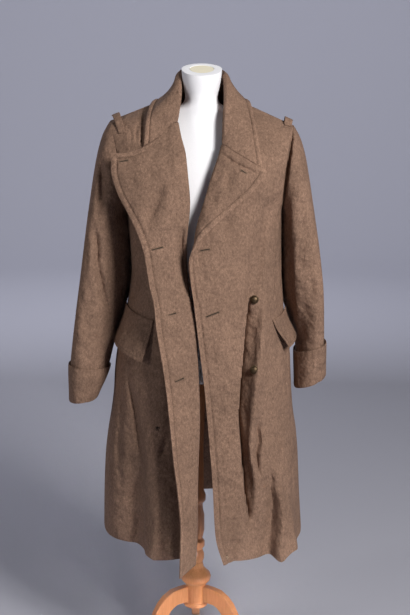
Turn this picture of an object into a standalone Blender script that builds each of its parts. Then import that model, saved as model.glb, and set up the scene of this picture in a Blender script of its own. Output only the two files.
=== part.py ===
"""Greatcoat worn open on a limbless dress form with a turned tripod stand.

Metres, +Z up. The coat faces -Y, so the wearer's right side lies at -X. Sizes are measured from the stand's axis and
from the floor. The last step centres the whole part's box on the origin.
"""
import math
from collections import namedtuple
from types import SimpleNamespace

import bmesh
import bpy
import numpy as np
from mathutils import Matrix, Vector

# Walls and seams
CLOTH = 0.0025
FACING = 0.0020
COLLAR = 0.0030
FLAP = 0.0040
LOOP = 0.0025
SEAM = 0.0003
ROLL_RADIUS = 0.006
CREST = ROLL_RADIUS + CLOTH / 2 + SEAM + FACING

# Grid of the cloth: rows run up from the hem, columns run round the body
LOW_ROWS = 16
ARM_ROWS = 8
TOP_ROW = LOW_ROWS + ARM_ROWS
ARC_COLUMNS = 6
LAPEL_COLUMNS = 6
BACK_COLUMNS = 12
NECK_COLUMNS = 4
SLEEVE_RINGS = 11
FRONT_COLUMNS = 12
CLOSE_COLUMNS = (4, 7, 3)
CLOSE_REACH = 1.9
CLOSE_LOW = 0.15
CLOSE_HIGH = 0.92
FINE_PLACES = 61
ROUNDNESS = 0.58
NORMAL_STEP_T = 0.02
NORMAL_STEP_ROW = 0.10
SHARP_ANGLE = 40.0

# Armholes and necks
ARM_MIDDLE_Y = 0.015
ARM_HALF_DEPTH = 0.076
ARM_FLARE = 1.6
ARM_LEAN = 0.5
UNDERARM_FROM = 0.5
UNDERARM_SPAN = 0.45
SLEEVE_UNDER_LEAN = 1.3
SLEEVE_UNDER_RISE = 0.6
BODY_UNDER_LEAN = 0.9
NECK_HALF_WIDTH = 0.066
NECK_Z = 1.483
BACK_NECK_Y = 0.078
BACK_NECK_Z = 1.487
CHEST_ROLL_Z = 1.210
BACK_CHEST_Z = 1.215
BOW_FROM_Z = 1.10
BOW_RISE = 0.15
DIP_ROWS = 5

# Fronts. Each row gives the crest of the roll line and, at the same row of the cloth, the front edge
Front = namedtuple("Front", "roll_z roll_x roll_y edge_x edge_y edge_z")
RIGHT_FRONT = (
    Front(0.322, 0.001, -0.225, -0.040, -0.303, 0.314),
    Front(0.424, 0.005, -0.220, -0.039, -0.290, 0.430),
    Front(0.526, 0.004, -0.212, -0.048, -0.280, 0.530),
    Front(0.600, 0.005, -0.205, -0.058, -0.268, 0.600),
    Front(0.682, 0.007, -0.196, -0.068, -0.252, 0.690),
    Front(0.791, 0.003, -0.183, -0.080, -0.232, 0.790),
    Front(0.870, -0.002, -0.174, -0.093, -0.217, 0.865),
    Front(0.940, -0.006, -0.166, -0.105, -0.202, 0.935),
    Front(0.989, -0.019, -0.160, -0.110, -0.193, 0.980),
    Front(1.043, -0.028, -0.155, -0.122, -0.183, 1.030),
    Front(1.120, -0.032, -0.152, -0.133, -0.172, 1.095),
    Front(1.167, -0.029, -0.148, -0.142, -0.163, 1.135),
    Front(1.216, -0.023, -0.143, -0.166, -0.150, 1.185),
    Front(1.295, -0.030, -0.127, -0.203, -0.122, 1.250),
    Front(1.354, -0.038, -0.102, -0.219, -0.106, 1.300),
    Front(1.420, -0.056, -0.060, -0.220, -0.096, 1.344),
    Front(1.452, -0.056, -0.022, -0.220, -0.096, 1.344),
    Front(1.483, -0.0565, 0.015, -0.220, -0.096, 1.344),
)
LEFT_FRONT = (
    Front(0.340, 0.089, -0.246, 0.070, -0.256, 0.331),
    Front(0.410, 0.068, -0.238, 0.048, -0.243, 0.407),
    Front(0.464, 0.064, -0.230, 0.044, -0.234, 0.464),
    Front(0.530, 0.060, -0.221, 0.040, -0.225, 0.530),
    Front(0.620, 0.052, -0.211, 0.032, -0.215, 0.620),
    Front(0.700, 0.044, -0.201, 0.024, -0.205, 0.700),
    Front(0.768, 0.037, -0.196, 0.017, -0.200, 0.768),
    Front(0.855, 0.025, -0.188, 0.005, -0.194, 0.855),
    Front(0.958, 0.011, -0.179, -0.009, -0.188, 0.958),
    Front(1.028, 0.002, -0.173, -0.018, -0.184, 1.026),
    Front(1.075, -0.008, -0.168, -0.024, -0.182, 1.068),
    Front(1.131, -0.016, -0.161, -0.015, -0.187, 1.118),
    Front(1.180, -0.008, -0.153, 0.014, -0.183, 1.158),
    Front(1.212, 0.003, -0.146, 0.036, -0.176, 1.178),
    Front(1.260, 0.017, -0.136, 0.086, -0.164, 1.223),
    Front(1.308, 0.031, -0.125, 0.132, -0.148, 1.264),
    Front(1.368, 0.050, -0.100, 0.164, -0.132, 1.308),
    Front(1.406, 0.054, -0.066, 0.164, -0.132, 1.308),
    Front(1.445, 0.0555, -0.025, 0.164, -0.132, 1.308),
    Front(1.483, 0.0565, 0.015, 0.164, -0.132, 1.308),
)

# Side seams from hem to underarm
Side = namedtuple("Side", "z x")
RIGHT_SIDE = (
    Side(0.345, -0.247),
    Side(0.450, -0.246),
    Side(0.550, -0.242),
    Side(0.620, -0.234),
    Side(0.700, -0.222),
    Side(0.800, -0.216),
    Side(0.870, -0.201),
    Side(0.960, -0.184),
    Side(1.035, -0.175),
    Side(1.120, -0.181),
    Side(1.195, -0.188),
)
LEFT_SIDE = (
    Side(0.345, 0.280),
    Side(0.450, 0.272),
    Side(0.550, 0.266),
    Side(0.610, 0.260),
    Side(0.670, 0.250),
    Side(0.750, 0.243),
    Side(0.830, 0.238),
    Side(0.900, 0.225),
    Side(0.970, 0.217),
    Side(1.055, 0.211),
    Side(1.120, 0.210),
    Side(1.200, 0.209),
)

# Middle of the back from hem to neck
Middle = namedtuple("Middle", "z x y")
BACK_MIDDLE = (
    Middle(0.362, 0.012, 0.236),
    Middle(0.500, 0.012, 0.214),
    Middle(0.700, 0.013, 0.188),
    Middle(0.900, 0.014, 0.164),
    Middle(1.040, 0.013, 0.151),
    Middle(1.215, 0.008, 0.166),
    Middle(1.350, 0.003, 0.154),
    Middle(1.430, 0.001, 0.121),
    Middle(1.487, 0.000, 0.078),
)

# Large folds, one table each: height, place across the cloth, depth (out is positive) and half width
Fold = namedtuple("Fold", "z x depth width")
FOLD_FADE_START = 0.10
FOLD_FADE_END = 0.08
RIGHT_FRONT_FOLDS = (
    (
        Fold(0.322, -0.176, -0.046, 0.058),
        Fold(0.480, -0.166, -0.030, 0.052),
        Fold(0.640, -0.160, -0.012, 0.044),
        Fold(0.760, -0.160, 0.000, 0.040),
    ),
    (
        Fold(0.322, -0.045, -0.030, 0.030),
        Fold(0.600, -0.045, -0.026, 0.030),
        Fold(0.800, -0.045, -0.012, 0.030),
        Fold(0.920, -0.050, 0.000, 0.030),
    ),
    (
        Fold(0.322, -0.112, 0.014, 0.030),
        Fold(0.520, -0.115, 0.008, 0.030),
        Fold(0.700, -0.118, 0.000, 0.030),
    ),
)
LEFT_FRONT_FOLDS = (
    (
        Fold(0.322, 0.165, -0.018, 0.036),
        Fold(0.470, 0.146, -0.018, 0.024),
        Fold(0.610, 0.132, -0.017, 0.019),
        Fold(0.715, 0.122, -0.017, 0.017),
        Fold(0.800, 0.124, -0.016, 0.016),
        Fold(0.980, 0.130, -0.016, 0.016),
        Fold(1.090, 0.141, -0.009, 0.020),
        Fold(1.180, 0.150, 0.000, 0.024),
    ),
    (
        Fold(0.322, 0.234, 0.028, 0.032),
        Fold(0.480, 0.226, 0.015, 0.032),
        Fold(0.660, 0.214, 0.000, 0.032),
    ),
)
RIGHT_BACK_FOLDS = (
    (
        Fold(0.322, -0.190, 0.026, 0.040),
        Fold(0.560, -0.168, 0.012, 0.040),
        Fold(0.860, -0.140, 0.000, 0.040),
    ),
    (
        Fold(0.322, -0.118, -0.024, 0.036),
        Fold(0.620, -0.100, -0.010, 0.036),
        Fold(0.900, -0.084, 0.000, 0.036),
    ),
    (
        Fold(0.322, -0.050, 0.014, 0.030),
        Fold(0.640, -0.044, 0.006, 0.030),
        Fold(0.880, -0.040, 0.000, 0.030),
    ),
)
LEFT_BACK_FOLDS = (
    (
        Fold(0.322, 0.222, 0.022, 0.040),
        Fold(0.600, 0.196, 0.010, 0.040),
        Fold(0.900, 0.160, 0.000, 0.040),
    ),
    (
        Fold(0.322, 0.146, -0.026, 0.038),
        Fold(0.560, 0.128, -0.012, 0.038),
        Fold(0.820, 0.104, 0.000, 0.038),
    ),
    (
        Fold(0.322, 0.074, 0.016, 0.032),
        Fold(0.580, 0.066, 0.008, 0.032),
        Fold(0.840, 0.058, 0.000, 0.032),
    ),
)

# Sleeves: each ring runs between an inner and an outer point as seen from the front. The lean takes the inner
# point back and the outer point forward
Ring = namedtuple("Ring", "place inner_x inner_z outer_x outer_z middle_y half_depth lean")
RIGHT_SLEEVE = (
    Ring(0.0, -0.1905, 1.193, -0.240, 1.404, 0.015, 0.077, 0.000),
    Ring(1.0, -0.193, 1.186, -0.254, 1.366, 0.015, 0.080, 0.000),
    Ring(2.0, -0.196, 1.175, -0.266, 1.318, 0.015, 0.082, 0.004),
    Ring(3.0, -0.192, 1.155, -0.274, 1.262, 0.014, 0.081, 0.012),
    Ring(4.0, -0.184, 1.115, -0.284, 1.190, 0.012, 0.078, 0.028),
    Ring(6.0, -0.176, 1.030, -0.298, 1.067, 0.010, 0.070, 0.048),
    Ring(8.0, -0.194, 0.930, -0.311, 0.960, 0.004, 0.066, 0.050),
    Ring(10.0, -0.226, 0.825, -0.325, 0.845, -0.006, 0.064, 0.034),
    Ring(11.0, -0.238, 0.775, -0.331, 0.785, -0.010, 0.064, 0.018),
    Ring(13.0, -0.266, 0.702, -0.334, 0.692, -0.014, 0.062, 0.000),
)
LEFT_SLEEVE = (
    Ring(0.0, 0.2115, 1.198, 0.244, 1.396, 0.015, 0.077, 0.000),
    Ring(1.0, 0.214, 1.190, 0.258, 1.362, 0.015, 0.080, 0.000),
    Ring(2.0, 0.217, 1.178, 0.269, 1.318, 0.015, 0.082, 0.004),
    Ring(3.0, 0.215, 1.158, 0.278, 1.268, 0.016, 0.081, 0.012),
    Ring(4.0, 0.211, 1.120, 0.290, 1.196, 0.017, 0.078, 0.024),
    Ring(6.0, 0.209, 1.040, 0.306, 1.093, 0.018, 0.070, 0.044),
    Ring(8.0, 0.221, 0.950, 0.319, 0.985, 0.020, 0.066, 0.048),
    Ring(10.0, 0.253, 0.860, 0.324, 0.890, 0.022, 0.065, 0.034),
    Ring(11.0, 0.257, 0.815, 0.327, 0.846, 0.023, 0.065, 0.018),
    Ring(13.0, 0.257, 0.726, 0.333, 0.759, 0.024, 0.064, 0.000),
)
SLEEVE_FROM = 0.45
SLEEVE_END = 13.0
CUFF_FROM = 10.85
CUFF_STEPS = 4
CUFF_REST = CLOTH + SEAM + 0.0002
CUFF_FLARE = 0.0030

# Collar, from the right lapel round the back to the left lapel: crest of the fold, outer edge and bulge of the fall
Collar = namedtuple("Collar", "place crest_x crest_y crest_z edge_x edge_y edge_z bulge")
COLLAR_SHAPE = (
    Collar(-1.00, -0.0565, -0.036, 1.492, -0.136, -0.056, 1.430, 0.000),
    Collar(-0.75, -0.0575, 0.004, 1.534, -0.124, 0.012, 1.4650, -0.011),
    Collar(-0.40, -0.0490, 0.055, 1.546, -0.098, 0.098, 1.456, -0.005),
    Collar(0.00, 0.0000, 0.072, 1.548, 0.000, 0.132, 1.444, 0.000),
    Collar(0.40, 0.0490, 0.055, 1.546, 0.096, 0.096, 1.458, -0.003),
    Collar(0.75, 0.0600, 0.004, 1.536, 0.122, 0.012, 1.4665, -0.006),
    Collar(0.90, 0.0635, -0.034, 1.494, 0.130, -0.052, 1.436, 0.000),
    Collar(1.00, 0.0605, -0.074, 1.444, 0.139, -0.098, 1.392, 0.003),
)
CREST_HALF = 0.006
COLLAR_LIFT = 0.0010
STAND_LIFT = 0.0022
COLLAR_ROLL = (1.0, 2.0, 3.0, 4.5, 6.0)
COLLAR_FALL = 5
COLLAR_SHOULDER = 0.75
STAND_SHARE = 0.55
FALL_DROP = 0.8

# Pocket flaps: rows of the front at the front end and at the side end, and columns between
Flap = namedtuple("Flap", "front_t side_t front_top side_top front_low side_low slant side_flare")
RIGHT_FLAP = Flap(0.640, 0.030, 11.00, 11.45, 9.05, 9.65, -0.030, 0.25)
LEFT_FLAP = Flap(0.405, 0.030, 10.90, 11.20, 9.45, 9.70, -0.090, 1.00)
FLAP_COLUMNS = 8
FLAP_ROWS = 4
FLAP_FLARE = 0.011
FLAP_FLARE_SPAN = 0.5
FLAP_CLEAR = 0.0004

# Shoulder loops: place across the shoulder seam, slant of the front end, and rows reached to front and back
Loop = namedtuple("Loop", "t slant front back")
RIGHT_LOOP = Loop(0.100, 0.095, 2.05, 1.70)
LEFT_LOOP = Loop(0.100, 0.000, 0.85, 2.10)
LOOP_HALF_T = 0.060
LOOP_RISE = 0.0085
LOOP_CLEAR = 0.0003
LOOP_STEPS = 8
LOOP_RAMP = 0.75
LOOP_NORMAL_ROW = 0.15

# Buttons: domes on shanks, on the outer bank of the left front's long fold
Button = namedtuple("Button", "name z x")
BUTTONS = (Button("button_upper", 0.989, 0.1385), Button("button_lower", 0.815, 0.1405))
BUTTON_RADIUS = 0.0110
BUTTON_DOME = 0.0055
BUTTON_RIM = 0.0016
SHANK_RADIUS = 0.0030
SHANK_LENGTH = 0.0060
BUTTON_SEGMENTS = 16
DOME_STEPS = 5
BUTTON_PLACES = 121

# Dress form: rings up the bust, the shoulder ridge and the neck. The oval share is how much of a ring's depth is a
# plain oval. The rest stands round the neck only
Bust = namedtuple("Bust", "z half_width front back oval")
FORM = (
    Bust(0.752, 0.140, -0.088, 0.098, 1.0),
    Bust(0.760, 0.150, -0.098, 0.108, 1.0),
    Bust(0.820, 0.160, -0.112, 0.122, 1.0),
    Bust(0.900, 0.157, -0.114, 0.122, 1.0),
    Bust(1.020, 0.136, -0.104, 0.104, 1.0),
    Bust(1.130, 0.146, -0.112, 0.112, 1.0),
    Bust(1.230, 0.156, -0.117, 0.122, 1.0),
    Bust(1.310, 0.166, -0.106, 0.122, 1.0),
    Bust(1.360, 0.173, -0.087, 0.110, 0.95),
    Bust(1.400, 0.176, -0.068, 0.088, 0.80),
)
Ridge = namedtuple("Ridge", "x front back oval")
FORM_SHOULDERS = (
    Ridge(0.170, -0.056, 0.070, 0.27),
    Ridge(0.150, -0.052, 0.064, 0.21),
    Ridge(0.130, -0.049, 0.059, 0.17),
    Ridge(0.110, -0.047, 0.056, 0.14),
    Ridge(0.090, -0.046, 0.053, 0.12),
    Ridge(0.076, -0.045, 0.050, 0.06),
    Ridge(0.062, -0.044, 0.048, 0.05),
    Ridge(0.054, -0.044, 0.047, 0.30),
)
FORM_MIDDLE_Y = 0.015
FORM_CLEAR = 0.0006
NECK_SPREAD = 0.060
NECK_BLEND = 1.5
NECK_RINGS = (
    Bust(1.492, 0.0460, -0.044, 0.046, 1.0),
    Bust(1.504, 0.0450, -0.047, 0.043, 1.0),
    Bust(1.520, 0.0470, -0.052, 0.044, 1.0),
    Bust(1.550, 0.0510, -0.056, 0.045, 1.0),
)
NECK_SLANT = 0.29
NECK_SLANT_FROM = 1.492
NECK_RIM = 0.60
NECK_RECESS = 0.003
DISC_THICKNESS = 0.002
DISC_GAP_SHARE = 0.012
FORM_SEGMENTS = 32

# Stand: turned profiles as height and radius, and three sawn legs
Turn = namedtuple("Turn", "z radius")
SPINDLE = (
    Turn(0.7515, 0.024),
    Turn(0.700, 0.024),
    Turn(0.690, 0.019),
    Turn(0.560, 0.0165),
    Turn(0.440, 0.019),
    Turn(0.428, 0.024),
    Turn(0.414, 0.024),
    Turn(0.404, 0.0165),
    Turn(0.392, 0.0165),
    Turn(0.372, 0.021),
    Turn(0.330, 0.0215),
    Turn(0.306, 0.0165),
    Turn(0.298, 0.0225),
    Turn(0.284, 0.0225),
    Turn(0.276, 0.0165),
    Turn(0.262, 0.0215),
    Turn(0.250, 0.0215),
    Turn(0.2395, 0.0180),
)
HUB = (
    Turn(0.2392, 0.0180),
    Turn(0.224, 0.0210),
    Turn(0.214, 0.0300),
    Turn(0.207, 0.0375),
    Turn(0.198, 0.0405),
    Turn(0.188, 0.0385),
    Turn(0.181, 0.0320),
    Turn(0.178, 0.0275),
    Turn(0.126, 0.0275),
    Turn(0.124, 0.0310),
    Turn(0.118, 0.0325),
    Turn(0.113, 0.0290),
)
TURN_SEGMENTS = 24
Leg = namedtuple("Leg", "reach z depth")
LEG_LINE = (
    Leg(0.0278, 0.1525, 0.044),
    Leg(0.0620, 0.1500, 0.043),
    Leg(0.0900, 0.1340, 0.041),
    Leg(0.1100, 0.1050, 0.039),
    Leg(0.1260, 0.0700, 0.037),
    Leg(0.1520, 0.0380, 0.034),
    Leg(0.1920, 0.0165, 0.030),
    Leg(0.2260, 0.0110, 0.022),
)
LEG_WIDTH = 0.022
FOOT_FROM = 0.190
LEG_STEPS = 12
LEGS = (("leg_right", 210.0), ("leg_left", 330.0), ("leg_back", 90.0))

# Finishes: sRGB colour, roughness and metallic value
Finish = namedtuple("Finish", "colour roughness metallic")
WOOL = Finish((126, 103, 83), 0.95, 0.0)
COVER = Finish((244, 243, 242), 0.80, 0.0)
CREAM = Finish((243, 235, 214), 0.70, 0.0)
BEECH = Finish((206, 143, 90), 0.45, 0.0)
METAL = Finish((74, 66, 58), 0.35, 0.9)

RIGHT = SimpleNamespace(
    name="right", out=-1.0, front=RIGHT_FRONT, side=RIGHT_SIDE, sleeve=RIGHT_SLEEVE, flap=RIGHT_FLAP,
    loop=RIGHT_LOOP, front_folds=RIGHT_FRONT_FOLDS, back_folds=RIGHT_BACK_FOLDS, close_fold=None, gorge_row=22,
    gorge_z=1.420, shoulder=np.array((-0.230, ARM_MIDDLE_Y, 1.416)), gorge_dip=0.022, bow=0.013, collar_share=0.49,
    facing_row=0,
)
LEFT = SimpleNamespace(
    name="left", out=1.0, front=LEFT_FRONT, side=LEFT_SIDE, sleeve=LEFT_SLEEVE, flap=LEFT_FLAP,
    loop=LEFT_LOOP, front_folds=LEFT_FRONT_FOLDS, back_folds=LEFT_BACK_FOLDS, close_fold=LEFT_FRONT_FOLDS[0],
    gorge_row=21, gorge_z=1.368, shoulder=np.array((0.234, ARM_MIDDLE_Y, 1.410)), gorge_dip=0.0, bow=0.010,
    collar_share=0.88, facing_row=13,
)
HALVES = (RIGHT, LEFT)


def values(table, name):
    return np.array([getattr(row, name) for row in table])


def along(table, key, name, at):
    """One column's value at a place on the key column, on a curve through the rows that doesn't overshoot."""
    places, heights = values(table, key), values(table, name)
    steps = np.diff(places)
    rises = np.diff(heights) / steps
    slopes = np.concatenate((rises[:1], np.zeros(len(rises) - 1), rises[-1:]))
    same = rises[:-1] * rises[1:] > 0
    before, after = rises[:-1][same], rises[1:][same]
    slopes[1:-1][same] = 2 * before * after / (before + after)
    at = np.clip(at, places[0], places[-1])
    i = np.clip(np.searchsorted(places, at, side="right") - 1, 0, len(steps) - 1)
    u = (at - places[i]) / steps[i]
    start = (1 + 2 * u) * (1 - u) ** 2 * heights[i] + u * (1 - u) ** 2 * steps[i] * slopes[i]
    return start + u * u * (3 - 2 * u) * heights[i + 1] + u * u * (u - 1) * steps[i] * slopes[i + 1]


def ease(u):
    u = np.clip(u, 0.0, 1.0)
    return u * u * (3 - 2 * u)


def unit(vectors):
    vectors = np.asarray(vectors, float)
    return vectors / np.linalg.norm(vectors, axis=-1, keepdims=True)


def bezier(start, leave, arrive, end, t):
    t = np.asarray(t, float)[:, None]
    return (1 - t) ** 3 * start + 3 * t * (1 - t) ** 2 * leave + 3 * t * t * (1 - t) * arrive + t ** 3 * end


# Landmarks shared by the pieces


def neck_point(half):
    return np.array((half.out * NECK_HALF_WIDTH, ARM_MIDDLE_Y, NECK_Z))


def armhole(half, angle):
    """Armhole seam: angle 0 at the shoulder, a quarter turn at the front, half a turn under the arm."""
    under = half.side[-1]
    middle = (half.shoulder[2] + under.z) / 2
    reach = (half.shoulder[2] - under.z) / 2
    width = abs(under.x) + (abs(half.shoulder[0]) - abs(under.x)) * ((1 + math.cos(angle)) / 2) ** ARM_FLARE
    return np.array((
        half.out * width,
        ARM_MIDDLE_Y - ARM_HALF_DEPTH * math.sin(angle),
        middle + reach * math.cos(angle),
    ))


def armhole_normal(half, angle, on_sleeve):
    """Way the cloth faces at the armhole. Under the arm the body faces out and the sleeve faces the body."""
    low = ease((abs(angle) / math.pi - UNDERARM_FROM) / UNDERARM_SPAN)
    lean = ARM_LEAN + low * (-SLEEVE_UNDER_LEAN if on_sleeve else BODY_UNDER_LEAN)
    rise = 1 - low * (SLEEVE_UNDER_RISE if on_sleeve else 1.0)
    return unit((half.out * lean, -math.sin(angle), math.cos(angle) * rise))


def arm_angle(row):
    return math.pi * (1 - (row - LOW_ROWS) / ARM_ROWS)


def side_point(half, row, facing=1.0):
    """Side seam below the arm, and the armhole's front or back half above it."""
    if row > LOW_ROWS:
        return armhole(half, facing * arm_angle(row))
    low, high = half.side[0].z, half.side[-1].z
    z = low + (high - low) * row / LOW_ROWS
    return np.array((along(half.side, "z", "x", z), ARM_MIDDLE_Y, z))


def roll_height(half, row):
    stops = (0, LOW_ROWS, half.gorge_row, TOP_ROW)
    return np.interp(row, stops, (half.front[0].roll_z, CHEST_ROLL_Z, half.gorge_z, NECK_Z))


def roll_point(half, row):
    """Where the front starts to turn over. Above the gorge it is the neck seam."""
    z = roll_height(half, row)
    x = along(half.front, "roll_z", "roll_x", z) + half.out * CREST
    return np.array((x, along(half.front, "roll_z", "roll_y", z), z))


def edge_point(half, row):
    z = roll_height(half, row)
    return np.array([along(half.front, "roll_z", name, z) for name in ("edge_x", "edge_y", "edge_z")])


def middle_point(row):
    stops = (0, LOW_ROWS, TOP_ROW)
    z = np.interp(row, stops, (BACK_MIDDLE[0].z, BACK_CHEST_Z, BACK_MIDDLE[-1].z))
    return np.array((along(BACK_MIDDLE, "z", "x", z), along(BACK_MIDDLE, "z", "y", z), z))


# Surfaces of the body pieces


def arc_length(points):
    steps = np.linalg.norm(np.diff(points[:, :2], axis=0), axis=1)
    return np.concatenate(((0.0,), np.cumsum(steps)))


def place_of_x(curve, t, x):
    """Where along a row the cloth reaches a given X."""
    order = np.argsort(curve[:, 0])
    return np.interp(x, curve[order, 0], t[order])


def folded(curve_at, folds, out, t):
    """A row of cloth with its folds: each moves the cloth out or in round its own place."""
    fine = np.linspace(0.0, 1.0, FINE_PLACES)
    base = curve_at(fine)
    length = arc_length(base)
    across = np.gradient(base[:, :2], axis=0)
    normal = unit(np.column_stack((-across[:, 1], across[:, 0]))) * out
    shift = np.zeros(len(fine))
    for fold in folds:
        z = base[:, 2].mean()
        if z >= fold[-1].z:
            continue
        centre = np.interp(place_of_x(base, fine, along(fold, "z", "x", z)), fine, length)
        spread = (length - centre) / along(fold, "z", "width", z)
        shift += along(fold, "z", "depth", z) * np.exp(-spread ** 2)
    shift *= ease(fine / FOLD_FADE_START) * ease((1 - fine) / FOLD_FADE_END)
    moved = base.copy()
    moved[:, :2] += normal * shift[:, None]
    return np.column_stack([np.interp(t, fine, moved[:, axis]) for axis in range(3)])


def quarter(start, end, forward_first, t):
    """Rounded plan curve between a side seam and the middle, with height eased between them."""
    reach = (end - start) * ROUNDNESS
    along_y, along_x = np.array((0.0, reach[1], 0.0)), np.array((reach[0], 0.0, 0.0))
    leave, arrive = (along_y, along_x) if forward_first else (along_x, along_y)
    points = bezier(start, start + leave, end - arrive, end, t)
    points[:, 2] = start[2] + (end[2] - start[2]) * ease(t)
    return points


def patch(low, top, left, right, t, s):
    """Surface point row between four edges: low and top run along t, left and right are the ends at s."""
    t = np.asarray(t, float)[:, None]
    ruled = (1 - s) * low + s * top + (1 - t) * left + t * right
    corners = (1 - s) * ((1 - t) * low[0] + t * low[-1]) + s * ((1 - t) * top[0] + t * top[-1])
    return ruled - corners


def with_ends(t):
    return np.concatenate(((0.0,), t, (1.0,)))


def front_body(half, row, t):
    """Front from side seam or armhole, t = 0, to the roll line or neck, t = 1."""
    t = np.asarray(t, float)

    def low_row(at, low=min(row, LOW_ROWS)):
        def curve(u):
            return quarter(side_point(half, low), roll_point(half, low), True, u)
        return folded(curve, half.front_folds, half.out, at)

    if row <= LOW_ROWS:
        return low_row(t)
    full = with_ends(t)
    shoulder = half.shoulder + full[:, None] * (neck_point(half) - half.shoulder)
    s = (row - LOW_ROWS) / ARM_ROWS
    return patch(low_row(full), shoulder, side_point(half, row), roll_point(half, row), full, s)[1:-1]


def back_body(half, row, t):
    """Back from its middle, t = 0, to side seam or armhole, t = 1."""
    t = np.asarray(t, float)

    def low_row(at, low=min(row, LOW_ROWS)):
        def curve(u):
            return quarter(middle_point(low), side_point(half, low, -1.0), False, u)
        return folded(curve, half.back_folds, half.out, at)

    if row <= LOW_ROWS:
        return low_row(t)
    full = with_ends(t)
    s = (row - LOW_ROWS) / ARM_ROWS
    return patch(low_row(full), back_top(half, full), middle_point(row), side_point(half, row, -1.0), full, s)[1:-1]


def back_top(half, t):
    """Top edge of the back: the neck, then the shoulder seam."""
    turn = NECK_COLUMNS / BACK_COLUMNS
    neck = neck_point(half)
    angle = np.clip(t / turn, 0.0, 1.0) * math.pi / 2
    points = np.column_stack((
        neck[0] * np.sin(angle),
        neck[1] + (BACK_NECK_Y - neck[1]) * np.cos(angle),
        neck[2] + (BACK_NECK_Z - neck[2]) * np.cos(angle),
    ))
    share = np.clip((t - turn) / (1 - turn), 0.0, 1.0)[:, None]
    return points + share * (half.shoulder - neck)


def turned_row(half, row):
    """Points and normals of the front past the roll line: round the roll, then flat to the front edge."""
    roll, edge = roll_point(half, row), edge_point(half, row)
    inward, forward = half.out * (roll[0] - edge[0]), roll[1] - edge[1]
    span = math.hypot(inward, forward - ROLL_RADIUS)
    flat = math.sqrt(max(span ** 2 - ROLL_RADIUS ** 2, 1e-8))
    heading = math.atan2(forward - ROLL_RADIUS, inward)
    if heading < -math.pi / 2:
        heading += 2 * math.pi
    turn = heading + math.atan2(ROLL_RADIUS, flat)
    angles = turn * np.arange(1, ARC_COLUMNS + 1) / ARC_COLUMNS
    arc = np.column_stack((
        roll[0] - half.out * ROLL_RADIUS * np.sin(angles),
        roll[1] - ROLL_RADIUS * (1 - np.cos(angles)),
        np.full(ARC_COLUMNS, roll[2]),
    ))
    share = np.arange(1, LAPEL_COLUMNS + 1) / LAPEL_COLUMNS
    lapel = arc[-1] + share[:, None] * (edge - arc[-1])
    hump = 4 * share * (1 - share)
    lapel[:, 1] -= half.bow * hump * ease((roll[2] - BOW_FROM_Z) / BOW_RISE)
    lapel[:, 2] -= half.gorge_dip * hump * ease((row - half.gorge_row + DIP_ROWS) / DIP_ROWS)
    run = np.gradient(np.concatenate((arc[-1:], lapel)), axis=0)[1:, :2]
    square = np.column_stack((-half.out * run[:, 1], half.out * run[:, 0], np.zeros(LAPEL_COLUMNS)))
    round_normals = np.column_stack((half.out * np.sin(angles), -np.cos(angles), np.zeros(ARC_COLUMNS)))
    return np.concatenate((arc, lapel)), np.concatenate((round_normals, unit(square)))


def front_columns(half, row):
    """Places of the columns between side and roll line, close together in the narrow long fold."""
    if half.close_fold is None:
        return np.linspace(0.0, 1.0, FRONT_COLUMNS + 1)
    row = min(row, LOW_ROWS)
    fine = np.linspace(0.0, 1.0, FINE_PLACES)
    base = quarter(side_point(half, row), roll_point(half, row), True, fine)
    z = base[:, 2].mean()
    centre = place_of_x(base, fine, along(half.close_fold, "z", "x", z))
    reach = CLOSE_REACH * along(half.close_fold, "z", "width", z) / arc_length(base)[-1]
    low, high = max(centre - reach, CLOSE_LOW), min(centre + reach, CLOSE_HIGH)
    before, inside, after = CLOSE_COLUMNS
    return np.concatenate((
        np.linspace(0.0, low, before + 1)[:-1],
        np.linspace(low, high, inside + 1)[:-1],
        np.linspace(high, 1.0, after + 1),
    ))


def front_grid(half):
    """Points of a front, and the normals of its turned-back columns. These stop at the gorge row."""
    rows, turned_normals = [], []
    for row in range(TOP_ROW + 1):
        turned, normals = turned_row(half, min(row, half.gorge_row))
        rows.append(np.concatenate((front_body(half, row, front_columns(half, row)), turned)))
        turned_normals.append(normals)
    return np.array(rows), np.array(turned_normals)


def grid_normals(grid, sign, ring=False):
    """Way the cloth faces at every point of a grid."""
    if ring:
        padded = np.concatenate((grid[:, -1:], grid, grid[:, :1]), axis=1)
        across = np.gradient(padded, axis=1)[:, 1:-1]
    else:
        across = np.gradient(grid, axis=1)
    return sign * unit(np.cross(across, np.gradient(grid, axis=0)))


def shoulder_normal(half):
    run = neck_point(half) - half.shoulder
    return unit((run[2] * half.out, 0.0, abs(run[0])))


def draw_in(edge, inner, amount=SEAM / 2):
    """A seam edge moved a little into its own piece."""
    return edge + unit(inner - edge) * amount


def front_piece(half):
    grid, turned_normals = front_grid(half)
    body_columns = len(front_columns(half, 0))
    body_normals = grid_normals(grid[:, :body_columns], -half.out)
    normals = np.concatenate((body_normals, turned_normals), axis=1)
    for row in range(TOP_ROW + 1):
        seam = (half.out, 0.0, 0.0)
        normals[row, 0] = armhole_normal(half, arm_angle(row), False) if row > LOW_ROWS else seam
    normals[TOP_ROW, :body_columns] = shoulder_normal(half)
    grid[:, 0] = draw_in(grid[:, 0], grid[:, 1])
    grid[TOP_ROW, :body_columns] = draw_in(grid[TOP_ROW, :body_columns], grid[TOP_ROW - 1, :body_columns])
    cells = np.ones((TOP_ROW, grid.shape[1] - 1), bool)
    cells[half.gorge_row:, body_columns - 1:] = False
    return SimpleNamespace(grid=grid, normals=normals, cells=cells, body_columns=body_columns)


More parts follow.
